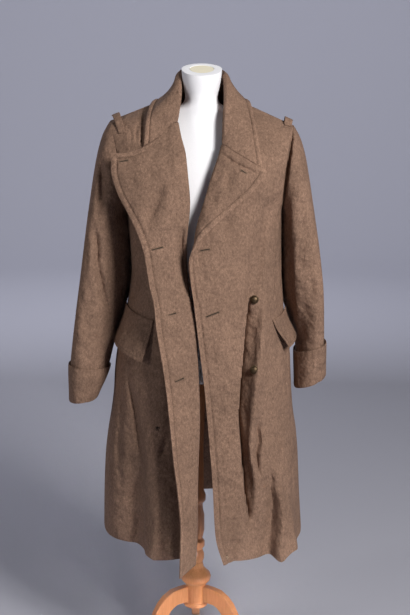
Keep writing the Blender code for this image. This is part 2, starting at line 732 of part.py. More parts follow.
def back_piece(half):
    t = np.linspace(0.0, 1.0, BACK_COLUMNS + 1)
    grid = np.array([back_body(half, row, t) for row in range(TOP_ROW + 1)])
    normals = grid_normals(grid, -half.out)
    rise = np.gradient(grid[:, 0], axis=0)
    normals[:, 0] = unit(np.column_stack((np.zeros(TOP_ROW + 1), rise[:, 2], -rise[:, 1])))
    for row in range(TOP_ROW + 1):
        seam = (half.out, 0.0, 0.0)
        normals[row, -1] = armhole_normal(half, -arm_angle(row), False) if row > LOW_ROWS else seam
    normals[TOP_ROW, NECK_COLUMNS:] = shoulder_normal(half)
    grid[:, 0] = draw_in(grid[:, 0], grid[:, 1])
    grid[:, -1] = draw_in(grid[:, -1], grid[:, -2])
    grid[TOP_ROW] = draw_in(grid[TOP_ROW], grid[TOP_ROW - 1])
    return SimpleNamespace(grid=grid, normals=normals)


def sleeve_ring(half, place, angles):
    row = SimpleNamespace(**{name: along(half.sleeve, "place", name, place) for name in Ring._fields[1:]})
    middle = np.array(((row.inner_x + row.outer_x) / 2, row.middle_y, (row.inner_z + row.outer_z) / 2))
    reach = np.array(((row.outer_x - row.inner_x) / 2, -row.lean, (row.outer_z - row.inner_z) / 2))
    return np.array([
        middle + reach * math.cos(a) - np.array((0.0, row.half_depth * math.sin(a), 0.0)) for a in angles
    ])


def cuff_places():
    return np.linspace(CUFF_FROM, SLEEVE_END, CUFF_STEPS + 1)


def sleeve_piece(half):
    angles = [math.pi * k / ARM_ROWS for k in range(1 - ARM_ROWS, ARM_ROWS + 1)]
    seam = []
    for a in angles:
        stand_off = SEAM + CLOTH * ((1 - math.cos(a)) / 2) ** 2
        seam.append(armhole(half, a) + np.array((half.out * stand_off, 0.0, 0.0)))
    rings = [np.array(seam)]
    places = np.concatenate((np.linspace(SLEEVE_FROM, CUFF_FROM, SLEEVE_RINGS)[:-1], cuff_places()))
    rings += [sleeve_ring(half, place, angles) for place in places]
    grid = np.array(rings)
    normals = grid_normals(grid, half.out, ring=True)
    normals[0] = [armhole_normal(half, a, True) for a in angles]
    return SimpleNamespace(grid=grid, normals=normals, angles=angles)


def cuff_piece(half, sleeve):
    places = cuff_places()
    base = np.array([sleeve_ring(half, place, sleeve.angles) for place in places])
    normals = grid_normals(base, half.out, ring=True)
    stand_off = CUFF_REST + CUFF_FLARE * (1 - ease((places - CUFF_FROM) / (SLEEVE_END - CUFF_FROM)))
    grid = base + normals * stand_off[:, None, None]
    return SimpleNamespace(grid=grid, normals=normals)


def facing_piece(half, front):
    """The layer sewn on the turned-back part of a front, made from its points moved out."""
    columns = slice(front.body_columns - 1, None)
    rows = slice(half.facing_row, half.gorge_row + 1)
    normals = -front.normals[rows, columns]
    base = front.grid[rows, columns]
    grid = base + normals * (CLOTH / 2 + SEAM + FACING / 2)
    return SimpleNamespace(grid=grid, normals=normals, base=base)


def collar_end(half, front):
    """End section of the collar and its normals: the top edge of the roll and lapel, moved up past the seam."""
    row = half.gorge_row
    columns = slice(front.body_columns - 1, None)
    normals = front.normals[row, columns]
    line = front.grid[row, columns] - normals * (FACING + SEAM) / 2
    line = line + unit(front.grid[row, columns] - front.grid[row - 1, columns]) * COLLAR_LIFT
    fall = ARC_COLUMNS + np.linspace(0.0, half.collar_share, COLLAR_FALL + 1)[1:] * LAPEL_COLUMNS
    places = np.concatenate((COLLAR_ROLL, fall))
    stops = np.arange(len(line))
    points, facing = (
        np.column_stack([np.interp(places, stops, part[:, axis]) for axis in range(3)]) for part in (line, -normals)
    )
    return points, unit(facing)


def collar_section(base, place):
    """Section of the collar: up the stand, over the crest and down the fall."""
    crest = np.array([along(COLLAR_SHAPE, "place", name, place) for name in ("crest_x", "crest_y", "crest_z")])
    edge = np.array([along(COLLAR_SHAPE, "place", name, place) for name in ("edge_x", "edge_y", "edge_z")])
    outward = unit((edge[0] - crest[0], edge[1] - crest[1], 0.0)) * CREST_HALF
    drop = np.array((0.0, 0.0, CREST_HALF))
    inner, outer = crest - outward - drop, crest + outward - drop * FALL_DROP
    share = np.linspace(0.0, 1.0, COLLAR_FALL + 1)[1:, None]
    fall = outer + share * (edge - outer)
    lift = unit(np.cross(edge - outer, np.cross(outward, drop)))
    lift = lift if lift[2] > 0 else -lift
    bulge = along(COLLAR_SHAPE, "place", "bulge", place)
    fall = fall + lift * bulge * 4 * share * (1 - share)
    return np.concatenate(([base, base + STAND_SHARE * (inner - base), inner, crest, outer], fall))


def collar_piece(fronts, backs):
    """Collar sections from the right lapel, round the back of the neck, to the left lapel."""
    stand = np.array((0.0, 0.0, STAND_LIFT))
    ends = [collar_end(half, fronts[half.name]) for half in HALVES]
    sections = [ends[0][0]]
    right_rows = range(RIGHT.gorge_row + 1, TOP_ROW + 1)
    for row, place in zip(right_rows, np.linspace(-1.0, -COLLAR_SHOULDER, len(right_rows))):
        sections.append(collar_section(fronts["right"].grid[row, fronts["right"].body_columns - 1] + stand, place))
    neck = np.concatenate((
        backs["right"].grid[TOP_ROW, NECK_COLUMNS - 1:0:-1],
        (backs["right"].grid[TOP_ROW, 0] + backs["left"].grid[TOP_ROW, 0])[None] / 2,
        backs["left"].grid[TOP_ROW, 1:NECK_COLUMNS],
    ))
    for base, place in zip(neck, np.linspace(-COLLAR_SHOULDER, COLLAR_SHOULDER, len(neck) + 2)[1:-1]):
        sections.append(collar_section(base + stand, place))
    left_rows = range(TOP_ROW, LEFT.gorge_row, -1)
    for row, place in zip(left_rows, np.linspace(COLLAR_SHOULDER, 1.0, len(left_rows))):
        sections.append(collar_section(fronts["left"].grid[row, fronts["left"].body_columns - 1] + stand, place))
    sections.append(ends[1][0])
    grid = np.array(sections)
    normals = grid_normals(grid, -1.0)
    normals[0], normals[-1] = ends[0][1], ends[1][1]
    return SimpleNamespace(grid=grid, normals=normals)


def surface_normal(surface, half, row, t):
    """Way a body surface faces at one place."""
    low, high = max(row - NORMAL_STEP_ROW, 0.0), min(row + NORMAL_STEP_ROW, float(TOP_ROW))
    up = surface(half, high, [t])[0] - surface(half, low, [t])[0]
    across = np.diff(surface(half, row, [max(t - NORMAL_STEP_T, 0.0), min(t + NORMAL_STEP_T, 1.0)]), axis=0)[0]
    return -half.out * unit(np.cross(across, up))


def flap_piece(half):
    """Pocket flap: the front's own points, moved out and flared away from the body at its lower edge."""
    flap = half.flap
    grid = []
    for down in np.linspace(0.0, 1.0, FLAP_ROWS + 1):
        line = []
        for share in np.linspace(0.0, 1.0, FLAP_COLUMNS + 1):
            top = flap.side_top + (flap.front_top - flap.side_top) * share
            low = flap.side_low + (flap.front_low - flap.side_low) * share
            t = flap.side_t + (flap.front_t - flap.side_t) * share + flap.slant * down * share
            row = top + (low - top) * down
            normal = surface_normal(front_body, half, row, t)
            flare = FLAP_FLARE * (flap.side_flare + (1 - flap.side_flare) * ease(share / FLAP_FLARE_SPAN)) * ease(down)
            stand_off = CLOTH / 2 + SEAM + FLAP / 2 + FLAP_CLEAR + flare
            line.append(front_body(half, row, [t])[0] + normal * stand_off)
        grid.append(line)
    grid = np.array(grid)
    return SimpleNamespace(grid=grid, normals=grid_normals(grid, half.out))


def loop_piece(half):
    """Shoulder loop: a strip over the shoulder seam, sewn down at both ends and raised in the middle."""
    turn = NECK_COLUMNS / BACK_COLUMNS
    grid = []
    for step in np.linspace(-1.0, 1.0, LOOP_STEPS + 1):
        row = TOP_ROW - abs(step) * (half.loop.front if step <= 0 else half.loop.back)
        centre = half.loop.t + half.loop.slant * max(-step, 0.0)
        line = []
        for t in (centre - LOOP_HALF_T, centre, centre + LOOP_HALF_T):
            back_t = turn + (1 - turn) * (1 - t)
            surface, at = (front_body, t) if step <= 0 else (back_body, back_t)
            normal = surface_normal(surface, half, min(row, TOP_ROW - LOOP_NORMAL_ROW), at)
            if abs(step) < 1 / LOOP_STEPS:
                normal = shoulder_normal(half)
            rise = LOOP_RISE * ease((1 - abs(step)) / LOOP_RAMP)
            stand_off = CLOTH / 2 + SEAM + LOOP / 2 + LOOP_CLEAR + rise
            line.append(surface(half, row, [at])[0] + normal * stand_off)
        grid.append(line)
    grid = np.array(grid)
    return SimpleNamespace(grid=grid, normals=grid_normals(grid, -half.out))


# Meshes and objects


def linear(channel):
    share = channel / 255.0
    return share / 12.92 if share <= 0.04045 else ((share + 0.055) / 1.055) ** 2.4


def finish_material(name, finish):
    material = bpy.data.materials.new(name)
    material.use_nodes = True
    shader = material.node_tree.nodes["Principled BSDF"]
    shader.inputs["Base Color"].default_value = (*[linear(c) for c in finish.colour], 1.0)
    shader.inputs["Roughness"].default_value = finish.roughness
    shader.inputs["Metallic"].default_value = finish.metallic
    return material


def add_object(name, build, finish, root):
    """One named object from a bmesh that its build function has filled."""
    mesh = bpy.data.meshes.new(name)
    shape = bmesh.new()
    build(shape)
    if shape.calc_volume(signed=True) < 0:
        bmesh.ops.reverse_faces(shape, faces=shape.faces)
    shape.to_mesh(mesh)
    shape.free()
    mesh.shade_smooth()
    mesh.set_sharp_from_angle(angle=math.radians(SHARP_ANGLE))
    mesh.materials.append(finish_material(name, finish))
    obj = bpy.data.objects.new(name, mesh)
    obj.parent = root
    bpy.context.scene.collection.objects.link(obj)
    return obj


def halves_of(grid, loop):
    """The two triangles of a cell, parted along its shorter diagonal."""
    a, b, c, d = loop
    if np.linalg.norm(grid[a] - grid[c]) <= np.linalg.norm(grid[b] - grid[d]):
        return (a, b, c), (a, c, d)
    return (a, b, d), (b, c, d)


def wall_builder(piece, thickness, ring=False):
    """Closed wall round a piece's grid of points, half its thickness to each side."""
    grid, normals, cells = piece.grid, piece.normals, getattr(piece, "cells", None)
    base = getattr(piece, "base", grid)
    rows, columns = grid.shape[:2]
    spans = columns if ring else columns - 1
    cells = np.ones((rows - 1, spans), bool) if cells is None else cells

    def build(shape):
        sides = []
        used = {}
        for lift in (-thickness / 2, thickness / 2):
            layer = {}
            sides.append(layer)
            for r in range(rows - 1):
                for c in range(spans):
                    if not cells[r, c]:
                        continue
                    for corner in ((r, c), (r, (c + 1) % columns), (r + 1, (c + 1) % columns), (r + 1, c)):
                        if corner not in layer:
                            layer[corner] = shape.verts.new(grid[corner] + normals[corner] * lift)
        for r in range(rows - 1):
            for c in range(spans):
                if not cells[r, c]:
                    continue
                loop = [(r, c), (r, (c + 1) % columns), (r + 1, (c + 1) % columns), (r + 1, c)]
                for corners in halves_of(base, loop):
                    shape.faces.new([sides[1][corner] for corner in corners])
                    shape.faces.new([sides[0][corner] for corner in reversed(corners)])
                for start, end in zip(loop, loop[1:] + loop[:1]):
                    used.setdefault(frozenset((start, end)), []).append((start, end))
        for (start, end), *more in used.values():
            if not more:
                shape.faces.new((sides[1][end], sides[1][start], sides[0][start], sides[0][end]))

    return build


def rings_builder(rings):
    """Closed solid through rings of points with fan caps at both ends."""
    def build(shape):
        loops = [[shape.verts.new(point) for point in ring] for ring in rings]
        for low, high in zip(loops, loops[1:]):
            for k in range(len(low)):
                n = (k + 1) % len(low)
                shape.faces.new((low[k], low[n], high[n], high[k]))
        for loop in (loops[0][::-1], loops[-1]):
            centre = shape.verts.new(sum((vert.co for vert in loop), Vector()) / len(loop))
            for k in range(len(loop)):
                shape.faces.new((loop[k], loop[(k + 1) % len(loop)], centre))

    return build


def turned_builder(profile, segments=TURN_SEGMENTS):
    angles = [2 * math.pi * k / segments for k in range(segments)]
    return rings_builder([
        [(turn.radius * math.cos(a), turn.radius * math.sin(a), turn.z) for a in angles] for turn in profile
    ])


def button_builder(spot, normal):
    """Domed button on a shank, standing on the cloth."""
    foot = CLOTH / 2 + SEAM
    back = foot + SHANK_LENGTH
    profile = [Turn(foot, SHANK_RADIUS), Turn(back, SHANK_RADIUS), Turn(back, BUTTON_RADIUS)]
    for k in range(DOME_STEPS):
        angle = k * math.pi / 2 / DOME_STEPS
        profile.append(Turn(back + BUTTON_RIM + BUTTON_DOME * math.sin(angle), BUTTON_RADIUS * math.cos(angle)))
    axis = Vector(normal)
    place = Matrix.Translation(spot) @ axis.to_track_quat("Z", "Y").to_matrix().to_4x4()

    def build(shape):
        turned_builder(profile, BUTTON_SEGMENTS)(shape)
        bmesh.ops.transform(shape, matrix=place, verts=shape.verts)

    return build


def oval(row, middle_y, segments=FORM_SEGMENTS):
    """Ring of the dress form with its own depths to the front and to the back."""
    points = []
    for k in range(segments):
        a = 2 * math.pi * k / segments
        x = row.half_width * math.sin(a)
        depth = middle_y - row.front if math.cos(a) > 0 else middle_y - row.back
        neck = max(1 - (x / NECK_SPREAD) ** 2, 0.0) ** NECK_BLEND
        reach = row.oval * abs(math.cos(a)) + (1 - row.oval) * neck
        points.append((x, middle_y - depth * reach, row.z))
    return points


def shoulder_ring(ridge):
    """Ring of the form just under the coat's left shoulder seam."""
    run = neck_point(LEFT) - LEFT.shoulder
    drop = (CLOTH / 2 + FORM_CLEAR) * math.hypot(run[0], run[2]) / abs(run[0])
    z = LEFT.shoulder[2] + (LEFT.shoulder[0] - ridge.x) * run[2] / abs(run[0])
    return Bust(z - drop, ridge.x, ridge.front, ridge.back, ridge.oval)


def slanted(ring, share, drop=0.0):
    return [(x, y, z + NECK_SLANT * share * y - drop) for x, y, z in ring]


def form_rings():
    rings = [oval(row, FORM_MIDDLE_Y) for row in FORM]
    rings += [oval(shoulder_ring(ridge), FORM_MIDDLE_Y) for ridge in FORM_SHOULDERS]
    top = NECK_RINGS[-1]
    for row in NECK_RINGS:
        share = (row.z - NECK_SLANT_FROM) / (top.z - NECK_SLANT_FROM)
        rings.append(slanted(oval(row, 0.0), max(share, 0.0)))
    rim = Bust(top.z, top.half_width * NECK_RIM, top.front * NECK_RIM, top.back * NECK_RIM, 1.0)
    rings.append(slanted(oval(rim, 0.0), 1.0))
    rings.append(slanted(oval(rim, 0.0), 1.0, NECK_RECESS))
    return rings


def disc_rings():
    top = NECK_RINGS[-1]
    share = NECK_RIM - DISC_GAP_SHARE
    row = Bust(top.z, top.half_width * share, top.front * share, top.back * share, 1.0)
    floor = NECK_RECESS - SEAM
    return [slanted(oval(row, 0.0), 1.0, floor), slanted(oval(row, 0.0), 1.0, floor - DISC_THICKNESS)]


def leg_rings(direction):
    """A sawn leg: an oblong section along a curve from the hub to a foot that is flat on the floor."""
    places = np.arange(len(LEG_LINE))
    at = np.linspace(0, len(LEG_LINE) - 1, LEG_STEPS + 1)
    table = [SimpleNamespace(place=p, reach=r.reach, z=r.z, depth=r.depth) for p, r in zip(places, LEG_LINE)]
    reach, z, depth = (along(table, "place", name, at) for name in ("reach", "z", "depth"))
    slope = np.column_stack((np.gradient(reach), np.gradient(z)))
    normal = unit(np.column_stack((-slope[:, 1], slope[:, 0])))
    normal[0], normal[-1] = (0.0, 1.0), (0.0, 1.0)
    outward = Vector((math.cos(direction), math.sin(direction), 0.0))
    across = Vector((-outward.y, outward.x, 0.0)) * LEG_WIDTH / 2
    rings = []
    for r, h, d, n in zip(reach, z, depth, normal):
        top = (r + n[0] * d / 2, h + n[1] * d / 2)
        low = (r, 0.0) if r > FOOT_FROM else (r - n[0] * d / 2, h - n[1] * d / 2)
        corners = ((low, -1), (low, 1), (top, 1), (top, -1))
        rings.append([outward * p[0] + across * side + Vector((0.0, 0.0, p[1])) for p, side in corners])
    return rings


# The pieces


def make_coat(root):
    fronts = {half.name: front_piece(half) for half in HALVES}
    backs = {half.name: back_piece(half) for half in HALVES}
    for half in HALVES:
        front, back = fronts[half.name], backs[half.name]
        sleeve = sleeve_piece(half)
        cuff, flap, loop = cuff_piece(half, sleeve), flap_piece(half), loop_piece(half)
        facing = facing_piece(half, front)
        for name, piece, thickness, ring in (
            ("front", front, CLOTH, False),
            ("back", back, CLOTH, False),
            ("sleeve", sleeve, CLOTH, True),
            ("cuff", cuff, CLOTH, True),
            ("facing", facing, FACING, False),
            ("pocket_flap", flap, FLAP, False),
            ("shoulder_loop", loop, LOOP, False),
        ):
            build = wall_builder(piece, thickness, ring)
            add_object(f"{name}_{half.name}", build, WOOL, root)
    collar = collar_piece(fronts, backs)
    add_object("collar", wall_builder(collar, COLLAR), WOOL, root)


def make_buttons(root):
    low, high = LEFT.front[0].roll_z, CHEST_ROLL_Z
    fine = np.linspace(0.0, 1.0, BUTTON_PLACES)
    for button in BUTTONS:
        row = LOW_ROWS * (button.z - low) / (high - low)
        t = place_of_x(front_body(LEFT, row, fine), fine, button.x)
        normal = surface_normal(front_body, LEFT, row, t)
        add_object(button.name, button_builder(front_body(LEFT, row, [t])[0], normal), METAL, root)


def make_form(root):
    add_object("form_body", rings_builder(form_rings()), COVER, root)
    add_object("neck_disc", rings_builder(disc_rings()), CREAM, root)


def make_stand(root):
    add_object("spindle", turned_builder(SPINDLE), BEECH, root)
    add_object("hub", turned_builder(HUB), BEECH, root)
    for name, degrees in LEGS:
        add_object(name, rings_builder(leg_rings(math.radians(degrees))), BEECH, root)


def centre_on_origin(root):
    """Move the whole part so that its box is centred over the origin, standing on the floor."""
    corners = np.array([vert.co for obj in root.children for vert in obj.data.vertices])
    low, high = corners.min(axis=0), corners.max(axis=0)
    root.location = (-(low[0] + high[0]) / 2, -(low[1] + high[1]) / 2, -low[2])


def main():
    for obj in list(bpy.data.objects):
        bpy.data.objects.remove(obj)
    root = bpy.data.objects.new("greatcoat_on_form", None)
    bpy.context.scene.collection.objects.link(root)
    make_coat(root)
    make_buttons(root)
    make_form(root)
    make_stand(root)
    centre_on_origin(root)


if __name__ == "__main__":
    main()
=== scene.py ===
"""Finish of a greatcoat on a dress form: napped wool, sewing, creases, buttons, form, stand and studio.

Metres, +Z up. The coat faces -Y, so the wearer's right side lies at -X. Tables are measured from the axis
of the stand.
"""
import math
from collections import namedtuple
from functools import lru_cache, partial
from types import SimpleNamespace

import bmesh
import bpy
import numpy as np
from bpy.props import FloatProperty, FloatVectorProperty, PointerProperty
from mathutils import Matrix, Vector


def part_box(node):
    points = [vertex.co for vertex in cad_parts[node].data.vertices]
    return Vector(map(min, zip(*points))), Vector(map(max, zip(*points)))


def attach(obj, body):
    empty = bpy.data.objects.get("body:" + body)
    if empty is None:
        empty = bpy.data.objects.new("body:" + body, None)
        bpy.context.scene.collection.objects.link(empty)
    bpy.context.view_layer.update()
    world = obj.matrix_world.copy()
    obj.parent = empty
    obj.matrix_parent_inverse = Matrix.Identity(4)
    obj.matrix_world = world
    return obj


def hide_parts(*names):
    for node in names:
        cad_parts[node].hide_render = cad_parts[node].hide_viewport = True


bl_info = {
    "name": "Greatcoat on a dress form",
    "version": (1, 0, 0),
    "blender": (4, 5, 0),
    "location": "3D View > Sidebar > Greatcoat",
    "description": "Finishes the greatcoat, its sewing, the dress form and the stand on their packed solids",
    "category": "Add Mesh",
}

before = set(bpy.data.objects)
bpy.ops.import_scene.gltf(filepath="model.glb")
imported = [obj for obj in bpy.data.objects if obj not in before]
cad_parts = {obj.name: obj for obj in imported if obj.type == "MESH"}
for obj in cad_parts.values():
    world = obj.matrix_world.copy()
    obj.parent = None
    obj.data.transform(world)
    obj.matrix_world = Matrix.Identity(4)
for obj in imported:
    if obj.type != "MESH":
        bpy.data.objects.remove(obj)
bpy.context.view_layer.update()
AXIS = np.array(sum(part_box("spindle"), Vector())) / 2 * (1, 1, 0)


def named_rows(names, *rows):
    """A table: its rows, with a name for each column."""
    row_type = namedtuple("Row", names)
    return [row_type(*row) for row in rows]


def crease(*rows, view="front"):
    """A crease, as seen from one side. Its rows give the place across, height, depth (toward
    the viewer is positive), half width and, where need be, how much wider it is toward higher X or Y."""
    return view, named_rows("across z depth width lean", *[(*row, 0.0)[:5] for row in rows])


# Walls and seams
CLOTH = 0.0025
FACING = 0.0020
COLLAR = 0.0030
FLAP = 0.0040
LOOP = 0.0025
SEAM = 0.0003
ROLL_RADIUS = 0.006
FLAT_LEAST = 1e-8
CREST = ROLL_RADIUS + CLOTH / 2 + SEAM + FACING

# Grid of the cloth: rows run up from the hem, columns run round the body
LOW_ROWS = 16
ARM_ROWS = 8
TOP_ROW = LOW_ROWS + ARM_ROWS
ARC_COLUMNS = 6
LAPEL_COLUMNS = 6
BACK_COLUMNS = 12
NECK_COLUMNS = 4
SLEEVE_RINGS = 11
FRONT_COLUMNS = 12
CLOSE_COLUMNS = (4, 7, 3)
CLOSE_REACH = 1.9
CLOSE_LOW = 0.15
CLOSE_HIGH = 0.92
FINE_PLACES = 61
ROUNDNESS = 0.58
NORMAL_STEP_T = 0.02
NORMAL_STEP_ROW = 0.10

# Armholes and necks
ARM_MIDDLE_Y = 0.015
ARM_HALF_DEPTH = 0.076
ARM_FLARE = 1.6
ARM_LEAN = 0.5
UNDERARM_FROM = 0.5
UNDERARM_SPAN = 0.45
SLEEVE_UNDER_LEAN = 1.3
SLEEVE_UNDER_RISE = 0.6
BODY_UNDER_LEAN = 0.9
NECK_HALF_WIDTH = 0.066
NECK_Z = 1.483
BACK_NECK_Y = 0.078
BACK_NECK_Z = 1.487
CHEST_ROLL_Z = 1.210
BACK_CHEST_Z = 1.215
BOW_FROM_Z = 1.10
BOW_RISE = 0.15
DIP_ROWS = 5

# Fronts. Each row gives the crest of the roll line and, at the same row of the cloth, the front edge
FRONT = "roll_z roll_x roll_y edge_x edge_y edge_z"
RIGHT_FRONT = named_rows(FRONT,
    (0.322, 0.001, -0.225, -0.040, -0.303, 0.314),
    (0.424, 0.005, -0.220, -0.039, -0.290, 0.430),
    (0.526, 0.004, -0.212, -0.048, -0.280, 0.530),
    (0.600, 0.005, -0.205, -0.058, -0.268, 0.600),
    (0.682, 0.007, -0.196, -0.068, -0.252, 0.690),
    (0.791, 0.003, -0.183, -0.080, -0.232, 0.790),
    (0.870, -0.002, -0.174, -0.093, -0.217, 0.865),
    (0.940, -0.006, -0.166, -0.105, -0.202, 0.935),
    (0.989, -0.019, -0.160, -0.110, -0.193, 0.980),
    (1.043, -0.028, -0.155, -0.122, -0.183, 1.030),
    (1.120, -0.032, -0.152, -0.133, -0.172, 1.095),
    (1.167, -0.029, -0.148, -0.142, -0.163, 1.135),
    (1.216, -0.023, -0.143, -0.166, -0.150, 1.185),
    (1.295, -0.030, -0.127, -0.203, -0.122, 1.250),
    (1.354, -0.038, -0.102, -0.219, -0.106, 1.300),
    (1.420, -0.056, -0.060, -0.220, -0.096, 1.344),
    (1.452, -0.056, -0.022, -0.220, -0.096, 1.344),
    (1.483, -0.0565, 0.015, -0.220, -0.096, 1.344),
)
LEFT_FRONT = named_rows(FRONT,
    (0.340, 0.089, -0.246, 0.070, -0.256, 0.331),
    (0.410, 0.068, -0.238, 0.048, -0.243, 0.407),
    (0.464, 0.064, -0.230, 0.044, -0.234, 0.464),
    (0.530, 0.060, -0.221, 0.040, -0.225, 0.530),
    (0.620, 0.052, -0.211, 0.032, -0.215, 0.620),
    (0.700, 0.044, -0.201, 0.024, -0.205, 0.700),
    (0.768, 0.037, -0.196, 0.017, -0.200, 0.768),
    (0.855, 0.025, -0.188, 0.005, -0.194, 0.855),
    (0.958, 0.011, -0.179, -0.009, -0.188, 0.958),
    (1.028, 0.002, -0.173, -0.018, -0.184, 1.026),
    (1.075, -0.008, -0.168, -0.024, -0.182, 1.068),
    (1.131, -0.016, -0.161, -0.015, -0.187, 1.118),
    (1.180, -0.008, -0.153, 0.014, -0.183, 1.158),
    (1.212, 0.003, -0.146, 0.036, -0.176, 1.178),
    (1.260, 0.017, -0.136, 0.086, -0.164, 1.223),
    (1.308, 0.031, -0.125, 0.132, -0.148, 1.264),
    (1.368, 0.050, -0.100, 0.164, -0.132, 1.308),
    (1.406, 0.054, -0.066, 0.164, -0.132, 1.308),
    (1.445, 0.0555, -0.025, 0.164, -0.132, 1.308),
    (1.483, 0.0565, 0.015, 0.164, -0.132, 1.308),
)

# Side seams from hem to underarm
RIGHT_SIDE = named_rows("z x",
    (0.345, -0.247), (0.450, -0.246), (0.550, -0.242), (0.620, -0.234), (0.700, -0.222), (0.800, -0.216),
    (0.870, -0.201), (0.960, -0.184), (1.035, -0.175), (1.120, -0.181), (1.195, -0.188),
)
LEFT_SIDE = named_rows("z x",
    (0.345, 0.280), (0.450, 0.272), (0.550, 0.266), (0.610, 0.260), (0.670, 0.250), (0.750, 0.243),
    (0.830, 0.238), (0.900, 0.225), (0.970, 0.217), (1.055, 0.211), (1.120, 0.210), (1.200, 0.209),
)

# Middle of the back from hem to neck
BACK_MIDDLE = named_rows("z x y",
    (0.362, 0.012, 0.236), (0.500, 0.012, 0.214), (0.700, 0.013, 0.188), (0.900, 0.014, 0.164),
    (1.040, 0.013, 0.151), (1.215, 0.008, 0.166), (1.350, 0.003, 0.154), (1.430, 0.001, 0.121),
    (1.487, 0.000, 0.078),
)

# Large folds, one table each: height, place across the cloth, depth (out is positive) and half width
FOLD = "z x depth width"
FOLD_FADE_START = 0.10
FOLD_FADE_END = 0.08
RIGHT_FRONT_FOLDS = (
    named_rows(FOLD,
        (0.322, -0.176, -0.046, 0.058), (0.480, -0.166, -0.030, 0.052), (0.640, -0.160, -0.012, 0.044),
        (0.760, -0.160, 0.000, 0.040)),
    named_rows(FOLD,
        (0.322, -0.045, -0.030, 0.030), (0.600, -0.045, -0.026, 0.030), (0.800, -0.045, -0.012, 0.030),
        (0.920, -0.050, 0.000, 0.030)),
    named_rows(FOLD,
        (0.322, -0.112, 0.014, 0.030), (0.520, -0.115, 0.008, 0.030), (0.700, -0.118, 0.000, 0.030)),
)
LEFT_FRONT_FOLDS = (
    named_rows(FOLD,
        (0.322, 0.165, -0.018, 0.036), (0.470, 0.146, -0.018, 0.024), (0.610, 0.132, -0.017, 0.019),
        (0.715, 0.122, -0.017, 0.017), (0.800, 0.124, -0.016, 0.016), (0.980, 0.130, -0.016, 0.016),
        (1.090, 0.141, -0.009, 0.020), (1.180, 0.150, 0.000, 0.024)),
    named_rows(FOLD,
        (0.322, 0.234, 0.028, 0.032), (0.480, 0.226, 0.015, 0.032), (0.660, 0.214, 0.000, 0.032)),
)
RIGHT_BACK_FOLDS = (
    named_rows(FOLD,
        (0.322, -0.190, 0.026, 0.040), (0.560, -0.168, 0.012, 0.040), (0.860, -0.140, 0.000, 0.040)),
    named_rows(FOLD,
        (0.322, -0.118, -0.024, 0.036), (0.620, -0.100, -0.010, 0.036), (0.900, -0.084, 0.000, 0.036)),
    named_rows(FOLD,
        (0.322, -0.050, 0.014, 0.030), (0.640, -0.044, 0.006, 0.030), (0.880, -0.040, 0.000, 0.030)),
)
LEFT_BACK_FOLDS = (
    named_rows(FOLD,
        (0.322, 0.222, 0.022, 0.040), (0.600, 0.196, 0.010, 0.040), (0.900, 0.160, 0.000, 0.040)),
    named_rows(FOLD,
        (0.322, 0.146, -0.026, 0.038), (0.560, 0.128, -0.012, 0.038), (0.820, 0.104, 0.000, 0.038)),
    named_rows(FOLD,
        (0.322, 0.074, 0.016, 0.032), (0.580, 0.066, 0.008, 0.032), (0.840, 0.058, 0.000, 0.032)),
)

# Sleeves: each ring runs between an inner and an outer point as seen from the front. The lean takes the inner
# point back and the outer point forward
RING = "place inner_x inner_z outer_x outer_z middle_y half_depth lean"
RIGHT_SLEEVE = named_rows(RING,
    (0.0, -0.1905, 1.193, -0.240, 1.404, 0.015, 0.077, 0.000),
    (1.0, -0.193, 1.186, -0.254, 1.366, 0.015, 0.080, 0.000),
    (2.0, -0.196, 1.175, -0.266, 1.318, 0.015, 0.082, 0.004),
    (3.0, -0.192, 1.155, -0.274, 1.262, 0.014, 0.081, 0.012),
    (4.0, -0.184, 1.115, -0.284, 1.190, 0.012, 0.078, 0.028),
    (6.0, -0.176, 1.030, -0.298, 1.067, 0.010, 0.070, 0.048),
    (8.0, -0.194, 0.930, -0.311, 0.960, 0.004, 0.066, 0.050),
    (10.0, -0.226, 0.825, -0.325, 0.845, -0.006, 0.064, 0.034),
    (11.0, -0.238, 0.775, -0.331, 0.785, -0.010, 0.064, 0.018),
    (13.0, -0.266, 0.702, -0.334, 0.692, -0.014, 0.062, 0.000),
)
LEFT_SLEEVE = named_rows(RING,
    (0.0, 0.2115, 1.198, 0.244, 1.396, 0.015, 0.077, 0.000),
    (1.0, 0.214, 1.190, 0.258, 1.362, 0.015, 0.080, 0.000),
    (2.0, 0.217, 1.178, 0.269, 1.318, 0.015, 0.082, 0.004),
    (3.0, 0.215, 1.158, 0.278, 1.268, 0.016, 0.081, 0.012),
    (4.0, 0.211, 1.120, 0.290, 1.196, 0.017, 0.078, 0.024),
    (6.0, 0.209, 1.040, 0.306, 1.093, 0.018, 0.070, 0.044),
    (8.0, 0.221, 0.950, 0.319, 0.985, 0.020, 0.066, 0.048),
    (10.0, 0.253, 0.860, 0.324, 0.890, 0.022, 0.065, 0.034),
    (11.0, 0.257, 0.815, 0.327, 0.846, 0.023, 0.065, 0.018),
    (13.0, 0.257, 0.726, 0.333, 0.759, 0.024, 0.064, 0.000),
)
SLEEVE_FROM = 0.45
SLEEVE_END = 13.0
CUFF_FROM = 10.85
CUFF_STEPS = 4
CUFF_REST = CLOTH + SEAM + 0.0002
CUFF_FLARE = 0.0030
CUFF_PLACES = np.linspace(CUFF_FROM, SLEEVE_END, CUFF_STEPS + 1)
RING_ANGLES = [math.pi * k / ARM_ROWS for k in range(1 - ARM_ROWS, ARM_ROWS + 1)]

